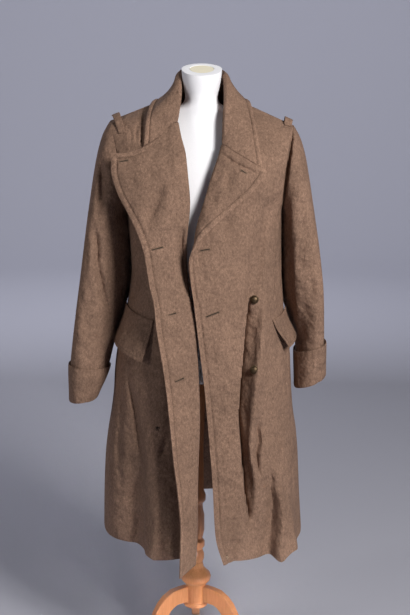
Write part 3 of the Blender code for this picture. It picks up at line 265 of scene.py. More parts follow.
# Collar, from right lapel round the back to left lapel: crest of the fold, outer edge and bulge of the fall
COLLAR_SHAPE = named_rows("place crest_x crest_y crest_z edge_x edge_y edge_z bulge",
    (-1.00, -0.0565, -0.036, 1.492, -0.136, -0.056, 1.430, 0.000),
    (-0.75, -0.0575, 0.004, 1.534, -0.124, 0.012, 1.4650, -0.011),
    (-0.40, -0.0490, 0.055, 1.546, -0.098, 0.098, 1.456, -0.005),
    (0.00, 0.0000, 0.072, 1.548, 0.000, 0.132, 1.444, 0.000),
    (0.40, 0.0490, 0.055, 1.546, 0.096, 0.096, 1.458, -0.003),
    (0.75, 0.0600, 0.004, 1.536, 0.122, 0.012, 1.4665, -0.006),
    (0.90, 0.0635, -0.034, 1.494, 0.130, -0.052, 1.436, 0.000),
    (1.00, 0.0605, -0.074, 1.444, 0.139, -0.098, 1.392, 0.003),
)
CREST_HALF = 0.006
COLLAR_LIFT = 0.0010
STAND_LIFT = 0.0022
COLLAR_ROLL = (1.0, 2.0, 3.0, 4.5, 6.0)
COLLAR_FALL = 5
COLLAR_SHOULDER = 0.75
STAND_SHARE = 0.55
FALL_DROP = 0.8

# Pocket flaps: rows of the front at the front end and at the side end, and columns between
RIGHT_FLAP, LEFT_FLAP = named_rows(
    "front_t side_t front_top side_top front_low side_low slant side_flare",
    (0.640, 0.030, 11.00, 11.45, 9.05, 9.65, -0.030, 0.25),
    (0.405, 0.030, 10.90, 11.20, 9.45, 9.70, -0.090, 1.00),
)
FLAP_COLUMNS = 8
FLAP_ROWS = 4
FLAP_FLARE = 0.011
FLAP_FLARE_SPAN = 0.5
FLAP_CLEAR = 0.0004

# Shoulder loops: place across the shoulder seam, slant of the front end, and rows reached to front and back
RIGHT_LOOP, LEFT_LOOP = named_rows(
    "t slant front back",
    (0.100, 0.095, 2.05, 1.70),
    (0.100, 0.000, 0.85, 2.10),
)
LOOP_HALF_T = 0.060
LOOP_RISE = 0.0085
LOOP_CLEAR = 0.0003
LOOP_STEPS = 8
LOOP_RAMP = 0.75
LOOP_NORMAL_ROW = 0.15

# Buttons: name, height and place across
BUTTONS = named_rows("name z x", ("button_upper", 0.989, 0.1385), ("button_lower", 0.815, 0.1405))
BUTTON_RADIUS = 0.0110
BUTTON_DOME = 0.0055
BUTTON_RIM = 0.0016
SHANK_RADIUS = 0.0030
SHANK_LENGTH = 0.0060

# Steps of the finer cloth between the rows and columns of the plain pieces
CHEST_ROWS = 3
ROW_STEPS = [9] * LOW_ROWS + [8] * CHEST_ROWS + [13] * (ARM_ROWS - CHEST_ROWS)
FRONT_STEPS = 6
CLOSE_STEPS = (8, 3, 7)
ARC_STEPS = 2
LAPEL_STEPS = (4, 4, 4, 5, 6, 14)
BACK_STEPS = 6
RING_STEPS = 6
SLEEVE_STEPS = 8
CUFF_FINE = 6
COLLAR_ROW_STEPS = 6
COLLAR_STEPS = (3, 3, 3, 3, 4, 4, 4, 5, 9)
FLAP_FINE = 6
LOOP_FINE = 5
CREASE_STEPS = 16
SEAM_BLEND = 5
EASE_ROWS = 14
EASE_COLUMNS = 14
EASE_PASSES = 40
EASE_SHARE = 0.5

# Bends that count as a corner and as smooth, and limits for what a view shows
CORNER_BEND = 0.2
SMOOTH_BEND = 0.8
TINY = 1e-6
HIDDEN = 10.0
FOUND_REACH = 0.003
FACES_VIEW = 0.15
THROUGH = -0.03

# Sewn edges
EDGE_INSET = 0.014
GROOVE_DEPTH = 0.0026
GROOVE_WIDTH = 0.0030
ROLL_HEIGHT = 0.0016
# Width of the band along sewn edges that is painted lighter: rubbed wear, and painted highlight where the
# raised roll catches light
EDGE_WEAR_AND_HIGHLIGHT_WIDTH = 0.006
RIM_SHARE = 0.45

# Creases
RIGHT_FRONT_CREASES = (
    crease((-0.1746, 1.396, -0.0028, 0.005), (-0.174, 1.382, -0.0049, 0.005), (-0.1736, 1.36, 0.0, 0.006)),
    crease((-0.1599, 1.406, -0.0028, 0.005), (-0.1606, 1.388, -0.0056, 0.005), (-0.161, 1.362, 0.0, 0.006)),
    crease(
        (-0.1445, 1.447, -0.0042, 0.006), (-0.146, 1.405, -0.0084, 0.006), (-0.147, 1.372, -0.0084, 0.006)),
    crease(
        (-0.1815, 0.803, 0.0, 0.01), (-0.1727, 0.758, -0.0113, 0.01), (-0.1645, 0.708, -0.0151, 0.01),
        (-0.1563, 0.658, -0.0151, 0.011), (-0.148, 0.608, -0.0132, 0.012),
        (-0.1398, 0.571, -0.0057, 0.012)),
    crease(
        (-0.1342, 0.553, -0.0040, 0.012), (-0.1478, 0.509, -0.0100, 0.013),
        (-0.1638, 0.472, -0.0075, 0.014), (-0.177, 0.434, 0.0, 0.014)),
    crease(
        (-0.1369, 0.451, 0.0, 0.010), (-0.1451, 0.411, -0.0075, 0.011), (-0.1533, 0.374, -0.0105, 0.012),
        (-0.156, 0.345, -0.0110, 0.013)),
    crease((-0.079, 0.632, -0.0038, 0.008), (-0.0855, 0.609, -0.0113, 0.009), (-0.0977, 0.574, 0.0, 0.009)),
    crease(
        (-0.2009, 0.759, 0.0, 0.012), (-0.1971, 0.685, -0.0076, 0.012), (-0.2041, 0.581, -0.0095, 0.013),
        (-0.1983, 0.477, 0.0, 0.013)),
    crease(
        (-0.0888, 1.289, 0.0, 0.016), (-0.1028, 1.249, -0.0095, 0.016), (-0.1218, 1.2, -0.0119, 0.015),
        (-0.1387, 1.158, 0.0, 0.012)),
    crease(
        (-0.0407, 1.17, 0.0, 0.01), (-0.0430, 1.125, -0.030, 0.014), (-0.0400, 1.085, -0.036, 0.014),
        (-0.0360, 1.045, -0.022, 0.012), (-0.0319, 0.995, 0.0, 0.009)),
    crease((-0.053, 0.752, 0.0, 0.012), (-0.0469, 0.655, -0.0028, 0.012), (-0.0359, 0.557, 0.0, 0.012)),
    crease((-0.1604, 1.099, 0.0, 0.012), (-0.1548, 1.023, -0.0095, 0.012), (-0.1679, 0.956, 0.0, 0.012)),
)
# The long fold below the left lapel: place of its edge, height, drop behind it and run of the rise beside it
LEFT_PLEAT = named_rows("edge z drop run",
    (0.1330, 0.430, 0.000, 0.012), (0.1300, 0.447, 0.028, 0.014), (0.1215, 0.490, 0.044, 0.023),
    (0.1170, 0.537, 0.050, 0.028), (0.1115, 0.583, 0.050, 0.024), (0.1095, 0.619, 0.050, 0.021),
    (0.1050, 0.655, 0.050, 0.026), (0.1018, 0.692, 0.050, 0.034), (0.1035, 0.740, 0.050, 0.036),
    (0.1068, 0.793, 0.048, 0.039), (0.1110, 0.840, 0.047, 0.041), (0.1155, 0.911, 0.045, 0.043),
    (0.1195, 0.950, 0.036, 0.040), (0.1240, 0.990, 0.000, 0.030),
)
PLEAT_SLOT = 0.012
PLEAT_SLOT_WIDTH = 0.006
PLEAT_FLAT = 0.020
PLEAT_FADE = 0.015
# The left armhole seam, which sinks into the front and into the sleeve alike
LEFT_ARMHOLE = crease(
    (0.2324, 1.402, -0.006, 0.0035), (0.2283, 1.379, -0.012, 0.0035), (0.2227, 1.345, -0.017, 0.004),
    (0.2172, 1.305, -0.020, 0.0045), (0.2128, 1.265, -0.020, 0.005), (0.2101, 1.231, -0.014, 0.005),
    (0.2091, 1.208, -0.004, 0.005),
)
LEFT_FRONT_CREASES = (
    LEFT_ARMHOLE,
    crease(
        (0.160, 1.255, 0.0, 0.012), (0.165, 1.215, -0.006, 0.013, 0.3),
        (0.1635, 1.178, -0.0095, 0.013, 0.3), (0.154, 1.134, -0.0108, 0.012, 0.3),
        (0.15, 1.072, -0.009, 0.011, 0.3), (0.141, 1.02, -0.0072, 0.010, 0.3), (0.133, 0.985, 0.0, 0.009)),
    crease(
        (0.166, 0.98, 0.0, 0.014), (0.162, 0.91, 0.011, 0.015), (0.156, 0.84, 0.014, 0.015),
        (0.150, 0.79, 0.015, 0.015), (0.142, 0.72, 0.014, 0.014), (0.134, 0.655, 0.010, 0.009),
        (0.134, 0.60, 0.009, 0.009), (0.147, 0.54, 0.010, 0.011), (0.148, 0.48, 0.006, 0.010),
        (0.15, 0.44, 0.0, 0.010)),
    crease(
        (0.148, 0.695, 0.0, 0.007), (0.151, 0.66, -0.013, 0.007), (0.154, 0.637, -0.015, 0.007),
        (0.1495, 0.598, -0.015, 0.007), (0.154, 0.568, -0.013, 0.006), (0.157, 0.545, 0.0, 0.006)),
    crease(
        (0.1784, 0.662, 0.0, 0.009), (0.2025, 0.628, -0.008, 0.009), (0.2136, 0.595, -0.008, 0.009),
        (0.2057, 0.578, 0.0, 0.009)),
    crease(
        (0.184, 0.575, 0.0, 0.009), (0.188, 0.540, -0.010, 0.012, -0.2),
        (0.191, 0.505, -0.018, 0.015, -0.2), (0.192, 0.475, -0.023, 0.017, -0.2),
        (0.191, 0.445, -0.026, 0.019, -0.2), (0.189, 0.41, -0.028, 0.021, -0.2),
        (0.188, 0.376, -0.029, 0.022, -0.2), (0.187, 0.34, -0.029, 0.022, -0.2)),
    crease(
        (0.203, 0.575, 0.0, 0.010), (0.210, 0.525, 0.008, 0.012), (0.215, 0.49, 0.012, 0.014),
        (0.217, 0.455, 0.014, 0.015), (0.217, 0.42, 0.015, 0.015), (0.216, 0.38, 0.015, 0.015),
        (0.216, 0.34, 0.015, 0.015)),
    crease((0.0653, 0.401, 0.0, 0.006), (0.0856, 0.391, -0.004, 0.007), (0.1107, 0.389, 0.0, 0.006)),
    crease((0.0808, 0.373, -0.003, 0.006), (0.1058, 0.38, -0.005, 0.007), (0.1263, 0.367, 0.0, 0.007)),
    crease((0.0475, 0.614, 0.0, 0.008), (0.072, 0.644, -0.006, 0.008), (0.0967, 0.673, 0.0, 0.008)),
    crease((0.2131, 0.681, -0.006, 0.006), (0.2273, 0.647, 0.0, 0.006)),
    crease((0.0839, 1.207, 0.0, 0.012), (0.0671, 1.176, -0.009, 0.013), (0.0552, 1.139, 0.0, 0.012)),
    crease(
        (0.0525, 1.350, -0.004, 0.004), (0.0800, 1.332, -0.006, 0.004), (0.1113, 1.316, -0.005, 0.004),
        (0.1384, 1.3035, -0.002, 0.004)),
    crease((0.0697, 1.315, 0.0, 0.009), (0.0676, 1.287, -0.009, 0.01), (0.0632, 1.252, 0.0, 0.01)),
)
RIGHT_BACK_CREASES = (
    crease((-0.06, 1.06, 0.0, 0.014), (-0.07, 0.95, -0.006, 0.014), (-0.082, 0.8, 0.0, 0.014), view="back"),
    crease((-0.14, 1.12, 0.0, 0.012), (-0.15, 1.01, -0.0075, 0.012), (-0.166, 0.89, 0.0, 0.012), view="back"),
    crease((-0.172, 1.27, 0.0, 0.01), (-0.146, 1.205, -0.0045, 0.01), (-0.122, 1.14, 0.0, 0.01), view="back"),
)
LEFT_BACK_CREASES = (
    crease((0.05, 1.08, 0.0, 0.013), (0.062, 0.96, -0.006, 0.014), (0.07, 0.84, 0.0, 0.014), view="back"),
    crease((0.15, 1.09, 0.0, 0.012), (0.162, 0.98, -0.0075, 0.012), (0.184, 0.83, 0.0, 0.012), view="back"),
    crease((0.186, 1.25, 0.0, 0.01), (0.16, 1.19, -0.0045, 0.01), (0.14, 1.12, 0.0, 0.01), view="back"),
)
# Swelling of both sleeves under the arm
UNDERARM = (
    (0.010, 1.225, 0.0, 0.016), (0.012, 1.19, 0.007, 0.020), (0.014, 1.15, 0.007, 0.022),
    (0.016, 1.10, 0.0, 0.020),
)
RIGHT_SLEEVE_CREASES = (
    crease(
        (-0.2506, 1.33, 0.0, 0.01), (-0.247, 1.285, -0.0168, 0.011), (-0.249, 1.236, -0.0192, 0.011),
        (-0.2565, 1.188, -0.0048, 0.01)),
    crease(
        (-0.2694, 1.167, 0.0, 0.008), (-0.2588, 1.11, -0.0144, 0.008), (-0.2589, 1.067, -0.012, 0.008),
        (-0.2496, 1.006, -0.0144, 0.009), (-0.2404, 0.965, -0.0144, 0.009), (-0.2314, 0.923, 0.0, 0.009)),
    crease(
        (-0.277, 1.134, 0.0, 0.009), (-0.2741, 1.085, 0.0072, 0.009), (-0.2716, 1.034, 0.0072, 0.009),
        (-0.2597, 0.968, 0.0, 0.009)),
    crease((-0.2919, 0.969, 0.0, 0.01), (-0.2872, 0.905, -0.0072, 0.011), (-0.2778, 0.845, 0.0, 0.01)),
    crease(*UNDERARM, view="left"),
    crease(
        (0.04, 1.25, 0.0, 0.012), (0.03, 1.15, -0.008, 0.012), (0.034, 1.03, -0.0064, 0.012),
        (0.02, 0.9, 0.0, 0.012), view="right"),
    crease((-0.236, 1.14, 0.0, 0.01), (-0.244, 1.04, -0.008, 0.011), (-0.262, 0.93, 0.0, 0.011), view="back"),
)
LEFT_SLEEVE_CREASES = (
    LEFT_ARMHOLE,
    crease((0.2553, 1.242, 0.0, 0.009), (0.2598, 1.167, -0.004, 0.01), (0.2623, 1.089, 0.0, 0.01)),
    crease((0.277, 1.09, 0.0, 0.009), (0.287, 1.013, -0.005, 0.01), (0.2892, 0.947, 0.0, 0.01)),
    crease(
        (0.230, 1.217, 0.003, 0.014, 0.4), (0.2365, 1.127, 0.015, 0.016, 0.5),
        (0.2445, 1.023, 0.019, 0.017, 0.5), (0.2505, 0.95, 0.015, 0.017, 0.5),
        (0.255, 0.90, 0.008, 0.015, 0.4), (0.259, 0.86, 0.0, 0.012)),
    crease(*UNDERARM, view="right"),
    crease(
        (0.03, 1.23, 0.0, 0.012), (0.04, 1.12, -0.0075, 0.012), (0.028, 1.0, -0.006, 0.012),
        (0.036, 0.92, 0.0, 0.012), view="left"),
    crease((0.252, 1.12, 0.0, 0.01), (0.262, 1.03, -0.0075, 0.011), (0.282, 0.94, 0.0, 0.011), view="back"),
)
RIGHT_CUFF_CREASES = (
    crease((-0.288, 0.74, 0.0, 0.012), (-0.29, 0.715, -0.003, 0.012), (-0.291, 0.695, -0.004, 0.012)),
)
LEFT_CUFF_CREASES = (
    crease(
        (0.2530, 0.830, 0.006, 0.014, 0.5), (0.2535, 0.790, 0.009, 0.014, 0.5),
        (0.2540, 0.745, 0.008, 0.014, 0.5)),
    crease(
        (0.3065, 0.838, -0.002, 0.006), (0.3094, 0.807, -0.005, 0.006), (0.314, 0.762, -0.006, 0.006),
        (0.315, 0.738, -0.006, 0.006)),
)

# Lower places of the hem: place across, drop and half width
LEFT_DIPS = named_rows("x drop width", (0.165, 0.008, 0.030), (0.218, 0.018, 0.024))
DIP_REACH = 0.10

# Stitches and buttonholes
STITCH_PITCH = 0.0045
STITCH_LENGTH = 0.0034
STITCH_RADIUS = 0.0005
STITCH_SIDES = 6
STITCH_RISE = (-1.0, 0.3, 0.6, 0.3, -1.0)
THREAD_ENDS = 0.35
BUTTONHOLES = named_rows("piece start_x start_z end_x end_z",
    ("facing_right", -0.1162, 1.1151, -0.0893, 1.1228),
    ("facing_right", -0.0849, 0.9528, -0.0557, 0.9614),
    ("facing_right", -0.0560, 0.7952, -0.0341, 0.8026),
    ("facing_right", -0.1999, 1.3235, -0.1788, 1.3289),
    ("front_left", 0.0015, 1.1128, 0.0260, 1.1177),
    ("front_left", 0.0183, 0.9510, 0.0502, 0.9632),
    ("facing_left", 0.0991, 1.3114, 0.1139, 1.3020),
)
FLAP_INSET = 0.009
FLAP_LIFT = 0.008
HOLE_STITCHES = 24
HOLE_GAP = 0.0007
HOLE_LIP = 0.0022
HOLE_THREAD = 0.0006
LIP_RISE = (0.2, 1.2, 1.0, -0.6)
BAR_POINTS = 5
BAR_RISE = 0.8
BAR_SIZE = 1.4
SLIT_RISE = 0.2
MISSING_BUTTON, CAUGHT_THREAD = named_rows(
    "piece x z count length radius",
    ("front_right", -0.1000, 0.6665, 7, 0.0070, 0.0006),
    ("front_left", 0.0785, 0.3514, 4, 0.0045, 0.0006),
)
END_POINTS = 6
END_SAG = 0.6
END_RISE = 0.35
# Waves from one loose end to the next
TURN_WAVE = 0.35
TURN_RATE = 5.0
LENGTH_LEAST = 0.7
LENGTH_WAVE = 0.5
LENGTH_RATE = 3.1
LENGTH_START = 1.0
# Finer form of the buttons
BUTTON_SIDES = 48
BUTTON_PLACES = 121
DOME_STEPS = 10
DOME_TOP = 0.01
RIM_STEPS = 7
SHANK_SUNK = 0.008

# Plies of a thread and stitches of the cover, drawn a little coarser than real
THREAD_PLY = 0.0008
COVER_GRAIN = 0.0014
# Heights of the bumps that are finer than the meshes
RUMPLE_HEIGHT = 0.0115
NAP_HEIGHT = 0.0012
COVER_HEIGHT = 0.0004
# Nap and wood grain run up and down, so their patterns are longer that way
NAP_STRETCH = (1.0, 1.0, 0.6)
GRAIN_STRETCH = (1.0, 1.0, 0.12)
# Share by which sewn edges are painted lighter: rubbed wear, and painted highlight of the raised roll
WEAR_AND_HIGHLIGHT_LIGHTER = 0.22
PATCHES_PER_METRE = 260.0
# Colour sockets of a mix node
MIX_FROM = 6
MIX_TO = 7
MIX_RESULT = 2

# Form, stand, studio and camera
FORM_NECK = named_rows("z half_width front back",
    (1.444, 0.0800, -0.052, 0.064), (1.453, 0.0540, -0.049, 0.059), (1.462, 0.0450, -0.047, 0.056),
    (1.471, 0.0425, -0.046, 0.053), (1.477, 0.0420, -0.045, 0.050), (1.483, 0.0425, -0.044, 0.048),
    (1.486, 0.0430, -0.044, 0.047), (1.492, 0.0450, -0.044, 0.046),
)
FORM_MIDDLE_Y = 0.015
NECK_RING_GAP = 0.0012
NECK_HEIGHTS = (1.493, 1.504, 1.520, 1.545)
NECK_SHARES = (1.0, 1.03, 1.04, 1.02)
RIM_Z = 1.528
RIM_CREASE = 0.5
SHARP_ANGLE = math.radians(50.0)
# Soft part of the neck: ends and runs across, below and above
SOFT_NECK = ((0.10, 0.03), (-1.30, 0.04), (1.525, 0.015))
SOFT_PASSES = 120
ROUND_STEPS = 3
ROUND_ANGLE = math.radians(30.0)
TURNED_ROUND = 0.0012
LEG_ROUND = 0.0025
HEIGHT_DIGITS = 5
TURN_SIDES = 72
FLOOR_SIDES = 96
COVE = 3.0
COVE_STEPS = 16
WALL_TOP = 8.0
FLOOR_MIDDLE = 0.5
AIR_STRENGTH = 0.02
LAMPS = named_rows(
    "name place aim size power tone spread",
    ("soft_light_right", (1.8, -2.62, 2.6), (0.0, 0.0, 1.1), (0.9, 1.1), 146.0, "FFFDF9", 180.0),
    ("soft_light_left", (-3.6, -2.0, 2.2), (0.0, 0.0, 1.0), (0.6, 0.9), 27.0, "FFFDF9", 180.0),
    ("soft_light_low", (0.9, -4.2, 0.7), (0.0, 0.0, 0.12), (0.5, 0.3), 0.42, "FFFDF9", 8.0),
    ("floor_light", (-1.6, 2.6, 3.4), (-1.2, 1.8, 0.0), (3.0, 2.5), 50.0, "F4F6FF", 180.0),
    ("backdrop_light", (0.0, 2.6, 3.8), (0.0, 8.5, 4.2), (3.0, 1.5), 245.0, "F4F6FF", 180.0),
)
EYE = (0.0155, -3.5, 1.65)
CAMERA_DIP = math.radians(11.5)
CAMERA_ROLL = math.radians(0.725)
LENS = 80.43

RIGHT = SimpleNamespace(
    name="right", out=-1.0, front=RIGHT_FRONT, side=RIGHT_SIDE, sleeve=RIGHT_SLEEVE, flap=RIGHT_FLAP,
    loop=RIGHT_LOOP, front_folds=RIGHT_FRONT_FOLDS, back_folds=RIGHT_BACK_FOLDS, close_fold=None,
    shoulder=np.array((-0.230, ARM_MIDDLE_Y, 1.416)), gorge_row=22, gorge_z=1.420, gorge_dip=0.022, bow=0.013,
    collar_share=0.49, facing_row=0, break_row=0, front_creases=RIGHT_FRONT_CREASES,
    back_creases=RIGHT_BACK_CREASES, sleeve_creases=RIGHT_SLEEVE_CREASES, cuff_creases=RIGHT_CUFF_CREASES,
    pleat=None, dips=(),
)
LEFT = SimpleNamespace(
    name="left", out=1.0, front=LEFT_FRONT, side=LEFT_SIDE, sleeve=LEFT_SLEEVE, flap=LEFT_FLAP,
    loop=LEFT_LOOP, front_folds=LEFT_FRONT_FOLDS, back_folds=LEFT_BACK_FOLDS, close_fold=LEFT_FRONT_FOLDS[0],
    shoulder=np.array((0.234, ARM_MIDDLE_Y, 1.410)), gorge_row=21, gorge_z=1.368, gorge_dip=0.0, bow=0.010,
    collar_share=0.88, facing_row=13, break_row=12, front_creases=LEFT_FRONT_CREASES,
    back_creases=LEFT_BACK_CREASES, sleeve_creases=LEFT_SLEEVE_CREASES, cuff_creases=LEFT_CUFF_CREASES,
    pleat=LEFT_PLEAT, dips=LEFT_DIPS,
)
HALVES = (RIGHT, LEFT)


def values(table, name):
    return np.array([getattr(row, name) for row in table])


def smooth(u, start, end, length, leave, arrive):
    """A share of the way on a curve between two ends with a slope at each."""
    first = (1 + 2 * u) * (1 - u) ** 2 * start + u * (1 - u) ** 2 * length * leave
    return first + u * u * (3 - 2 * u) * end + u * u * (u - 1) * length * arrive


def along(table, key, name, at):
    """One column's value at a place on the key column, on a curve through the rows that doesn't overshoot."""
    places, heights = values(table, key), values(table, name)
    steps = np.diff(places)
    rises = np.diff(heights) / steps
    slopes = np.concatenate((rises[:1], np.zeros(len(rises) - 1), rises[-1:]))
    same = rises[:-1] * rises[1:] > 0
    before, after = rises[:-1][same], rises[1:][same]
    slopes[1:-1][same] = 2 * before * after / (before + after)
    at = np.clip(at, places[0], places[-1])
    i = np.clip(np.searchsorted(places, at, side="right") - 1, 0, len(steps) - 1)
    u = (at - places[i]) / steps[i]
    return smooth(u, heights[i], heights[i + 1], steps[i], slopes[i], slopes[i + 1])


def ease(u):
    u = np.clip(u, 0.0, 1.0)
    return u * u * (3 - 2 * u)


def unit(vectors):
    vectors = np.asarray(vectors, float)
    return vectors / np.linalg.norm(vectors, axis=-1, keepdims=True)


def bezier(start, leave, arrive, end, t):
    t = np.asarray(t, float)[:, None]
    return (1 - t) ** 3 * start + 3 * t * (1 - t) ** 2 * leave + 3 * t * t * (1 - t) * arrive + t ** 3 * end


# Landmarks shared by the pieces


def neck_point(half):
    return np.array((half.out * NECK_HALF_WIDTH, ARM_MIDDLE_Y, NECK_Z))


def armhole(half, angle):
    """Armhole seam: angle 0 at the shoulder, a quarter turn at the front, half a turn under the arm."""
    under = half.side[-1]
    middle = (half.shoulder[2] + under.z) / 2
    reach = (half.shoulder[2] - under.z) / 2
    width = abs(under.x) + (abs(half.shoulder[0]) - abs(under.x)) * ((1 + math.cos(angle)) / 2) ** ARM_FLARE
    return np.array((
        half.out * width,
        ARM_MIDDLE_Y - ARM_HALF_DEPTH * math.sin(angle),
        middle + reach * math.cos(angle),
    ))


def armhole_normal(half, angle, on_sleeve):
    """Way the cloth faces at the armhole. Under the arm the body faces out and the sleeve faces the body."""
    low = ease((abs(angle) / math.pi - UNDERARM_FROM) / UNDERARM_SPAN)
    lean = ARM_LEAN + low * (-SLEEVE_UNDER_LEAN if on_sleeve else BODY_UNDER_LEAN)
    rise = 1 - low * (SLEEVE_UNDER_RISE if on_sleeve else 1.0)
    return unit((half.out * lean, -math.sin(angle), math.cos(angle) * rise))


def arm_angle(row):
    return math.pi * (1 - (row - LOW_ROWS) / ARM_ROWS)


def side_point(half, row, facing=1.0):
    """Side seam below the arm, and the armhole's front or back half above it."""
    if row > LOW_ROWS:
        return armhole(half, facing * arm_angle(row))
    low, high = half.side[0].z, half.side[-1].z
    z = low + (high - low) * row / LOW_ROWS
    return np.array((along(half.side, "z", "x", z), ARM_MIDDLE_Y, z))


def roll_height(half, row):
    stops = (0, LOW_ROWS, half.gorge_row, TOP_ROW)
    return np.interp(row, stops, (half.front[0].roll_z, CHEST_ROLL_Z, half.gorge_z, NECK_Z))


def roll_point(half, row):
    """Where the front starts to turn over. Above the gorge it is the neck seam."""
    z = roll_height(half, row)
    x = along(half.front, "roll_z", "roll_x", z) + half.out * CREST
    return np.array((x, along(half.front, "roll_z", "roll_y", z), z))


def edge_point(half, row):
    z = roll_height(half, row)
    return np.array([along(half.front, "roll_z", name, z) for name in ("edge_x", "edge_y", "edge_z")])


def middle_point(row):
    stops = (0, LOW_ROWS, TOP_ROW)
    z = np.interp(row, stops, (BACK_MIDDLE[0].z, BACK_CHEST_Z, BACK_MIDDLE[-1].z))
    return np.array((along(BACK_MIDDLE, "z", "x", z), along(BACK_MIDDLE, "z", "y", z), z))


# Surfaces of the body pieces


def arc_length(points):
    steps = np.linalg.norm(np.diff(points[:, :2], axis=0), axis=1)
    return np.concatenate(((0.0,), np.cumsum(steps)))


def place_of_x(curve, t, x):
    """Where along a row the cloth reaches a given X."""
    order = np.argsort(curve[:, 0])
    return np.interp(x, curve[order, 0], t[order])


def between(places, stops, points):
    """Points of a line at places between its own stops."""
    return np.column_stack([np.interp(places, stops, points[:, axis]) for axis in range(3)])


def folded(curve_at, folds, out, t):
    """A row of cloth with its folds: each moves the cloth out or in round its own place."""
    fine = np.linspace(0.0, 1.0, FINE_PLACES)
    base = curve_at(fine)
    length = arc_length(base)
    across = np.gradient(base[:, :2], axis=0)
    normal = unit(np.column_stack((-across[:, 1], across[:, 0]))) * out
    shift = np.zeros(len(fine))
    z = base[:, 2].mean()
    for fold in folds:
        if z >= fold[-1].z:
            continue
        centre = np.interp(place_of_x(base, fine, along(fold, "z", "x", z)), fine, length)
        spread = (length - centre) / along(fold, "z", "width", z)
        shift += along(fold, "z", "depth", z) * np.exp(-spread ** 2)
    shift *= ease(fine / FOLD_FADE_START) * ease((1 - fine) / FOLD_FADE_END)
    moved = base.copy()
    moved[:, :2] += normal * shift[:, None]
    return between(t, fine, moved)


def quarter(start, end, forward_first, t):
    """Rounded plan curve between a side seam and the middle, with height eased between them."""
    reach = (end - start) * ROUNDNESS
    along_y, along_x = np.array((0.0, reach[1], 0.0)), np.array((reach[0], 0.0, 0.0))
    leave, arrive = (along_y, along_x) if forward_first else (along_x, along_y)
    points = bezier(start, start + leave, end - arrive, end, t)
    points[:, 2] = start[2] + (end[2] - start[2]) * ease(t)
    return points


def patch(low, top, left, right, t, s):
    """Surface point row between four edges: low and top run along t, left and right are the ends at s."""
    t = np.asarray(t, float)[:, None]
    ruled = (1 - s) * low + s * top + (1 - t) * left + t * right
    corners = (1 - s) * ((1 - t) * low[0] + t * low[-1]) + s * ((1 - t) * top[0] + t * top[-1])
    return ruled - corners


def body_row(half, row, t, ends, top, folds, forward_first):
    """A row of a body piece: folded cloth below the arm, and a surface between four edges above it."""
    t = np.asarray(t, float)
    start, end = ends(min(row, LOW_ROWS))

    def curve(at):
        return quarter(start, end, forward_first, at)

    if row <= LOW_ROWS:
        return folded(curve, folds, half.out, t)
    full = np.concatenate(((0.0,), t, (1.0,)))
    low = folded(curve, folds, half.out, full)
    return patch(low, top(full), *ends(row), full, (row - LOW_ROWS) / ARM_ROWS)[1:-1]


def front_body(half, row, t):
    """Front from side seam or armhole, t = 0, to the roll line or neck, t = 1."""
    def ends(at):
        return side_point(half, at), roll_point(half, at)

    def top(at):
        return half.shoulder + at[:, None] * (neck_point(half) - half.shoulder)

    return body_row(half, row, t, ends, top, half.front_folds, True)


def back_body(half, row, t):
    """Back from its middle, t = 0, to side seam or armhole, t = 1."""
    def ends(at):
        return middle_point(at), side_point(half, at, -1.0)

    def top(at):
        return back_top(half, at)

    return body_row(half, row, t, ends, top, half.back_folds, False)


def back_top(half, t):
    """Top edge of the back: the neck, then the shoulder seam."""
    turn = NECK_COLUMNS / BACK_COLUMNS
    neck = neck_point(half)
    angle = np.clip(t / turn, 0.0, 1.0) * math.pi / 2
    points = np.column_stack((
        neck[0] * np.sin(angle),
        neck[1] + (BACK_NECK_Y - neck[1]) * np.cos(angle),
        neck[2] + (BACK_NECK_Z - neck[2]) * np.cos(angle),
    ))
    share = np.clip((t - turn) / (1 - turn), 0.0, 1.0)[:, None]
    return points + share * (half.shoulder - neck)


def turned_row(half, row):
    """Points and normals of the front past the roll line: round the roll, then flat to the front edge."""
    roll, edge = roll_point(half, row), edge_point(half, row)
    inward, forward = half.out * (roll[0] - edge[0]), roll[1] - edge[1]
    span = math.hypot(inward, forward - ROLL_RADIUS)
    flat = math.sqrt(max(span ** 2 - ROLL_RADIUS ** 2, FLAT_LEAST))
    heading = math.atan2(forward - ROLL_RADIUS, inward)
    if heading < -math.pi / 2:
        heading += 2 * math.pi
    turn = heading + math.atan2(ROLL_RADIUS, flat)
    angles = turn * np.arange(1, ARC_COLUMNS + 1) / ARC_COLUMNS
    arc = np.column_stack((
        roll[0] - half.out * ROLL_RADIUS * np.sin(angles),
        roll[1] - ROLL_RADIUS * (1 - np.cos(angles)),
        np.full(ARC_COLUMNS, roll[2]),
    ))
    share = np.arange(1, LAPEL_COLUMNS + 1) / LAPEL_COLUMNS
    lapel = arc[-1] + share[:, None] * (edge - arc[-1])
    hump = 4 * share * (1 - share)
    lapel[:, 1] -= half.bow * hump * ease((roll[2] - BOW_FROM_Z) / BOW_RISE)
    lapel[:, 2] -= half.gorge_dip * hump * ease((row - half.gorge_row + DIP_ROWS) / DIP_ROWS)
    run = np.gradient(np.concatenate((arc[-1:], lapel)), axis=0)[1:, :2]
    square = np.column_stack((-half.out * run[:, 1], half.out * run[:, 0], np.zeros(LAPEL_COLUMNS)))
    round_normals = np.column_stack((half.out * np.sin(angles), -np.cos(angles), np.zeros(ARC_COLUMNS)))
    return np.concatenate((arc, lapel)), np.concatenate((round_normals, unit(square)))


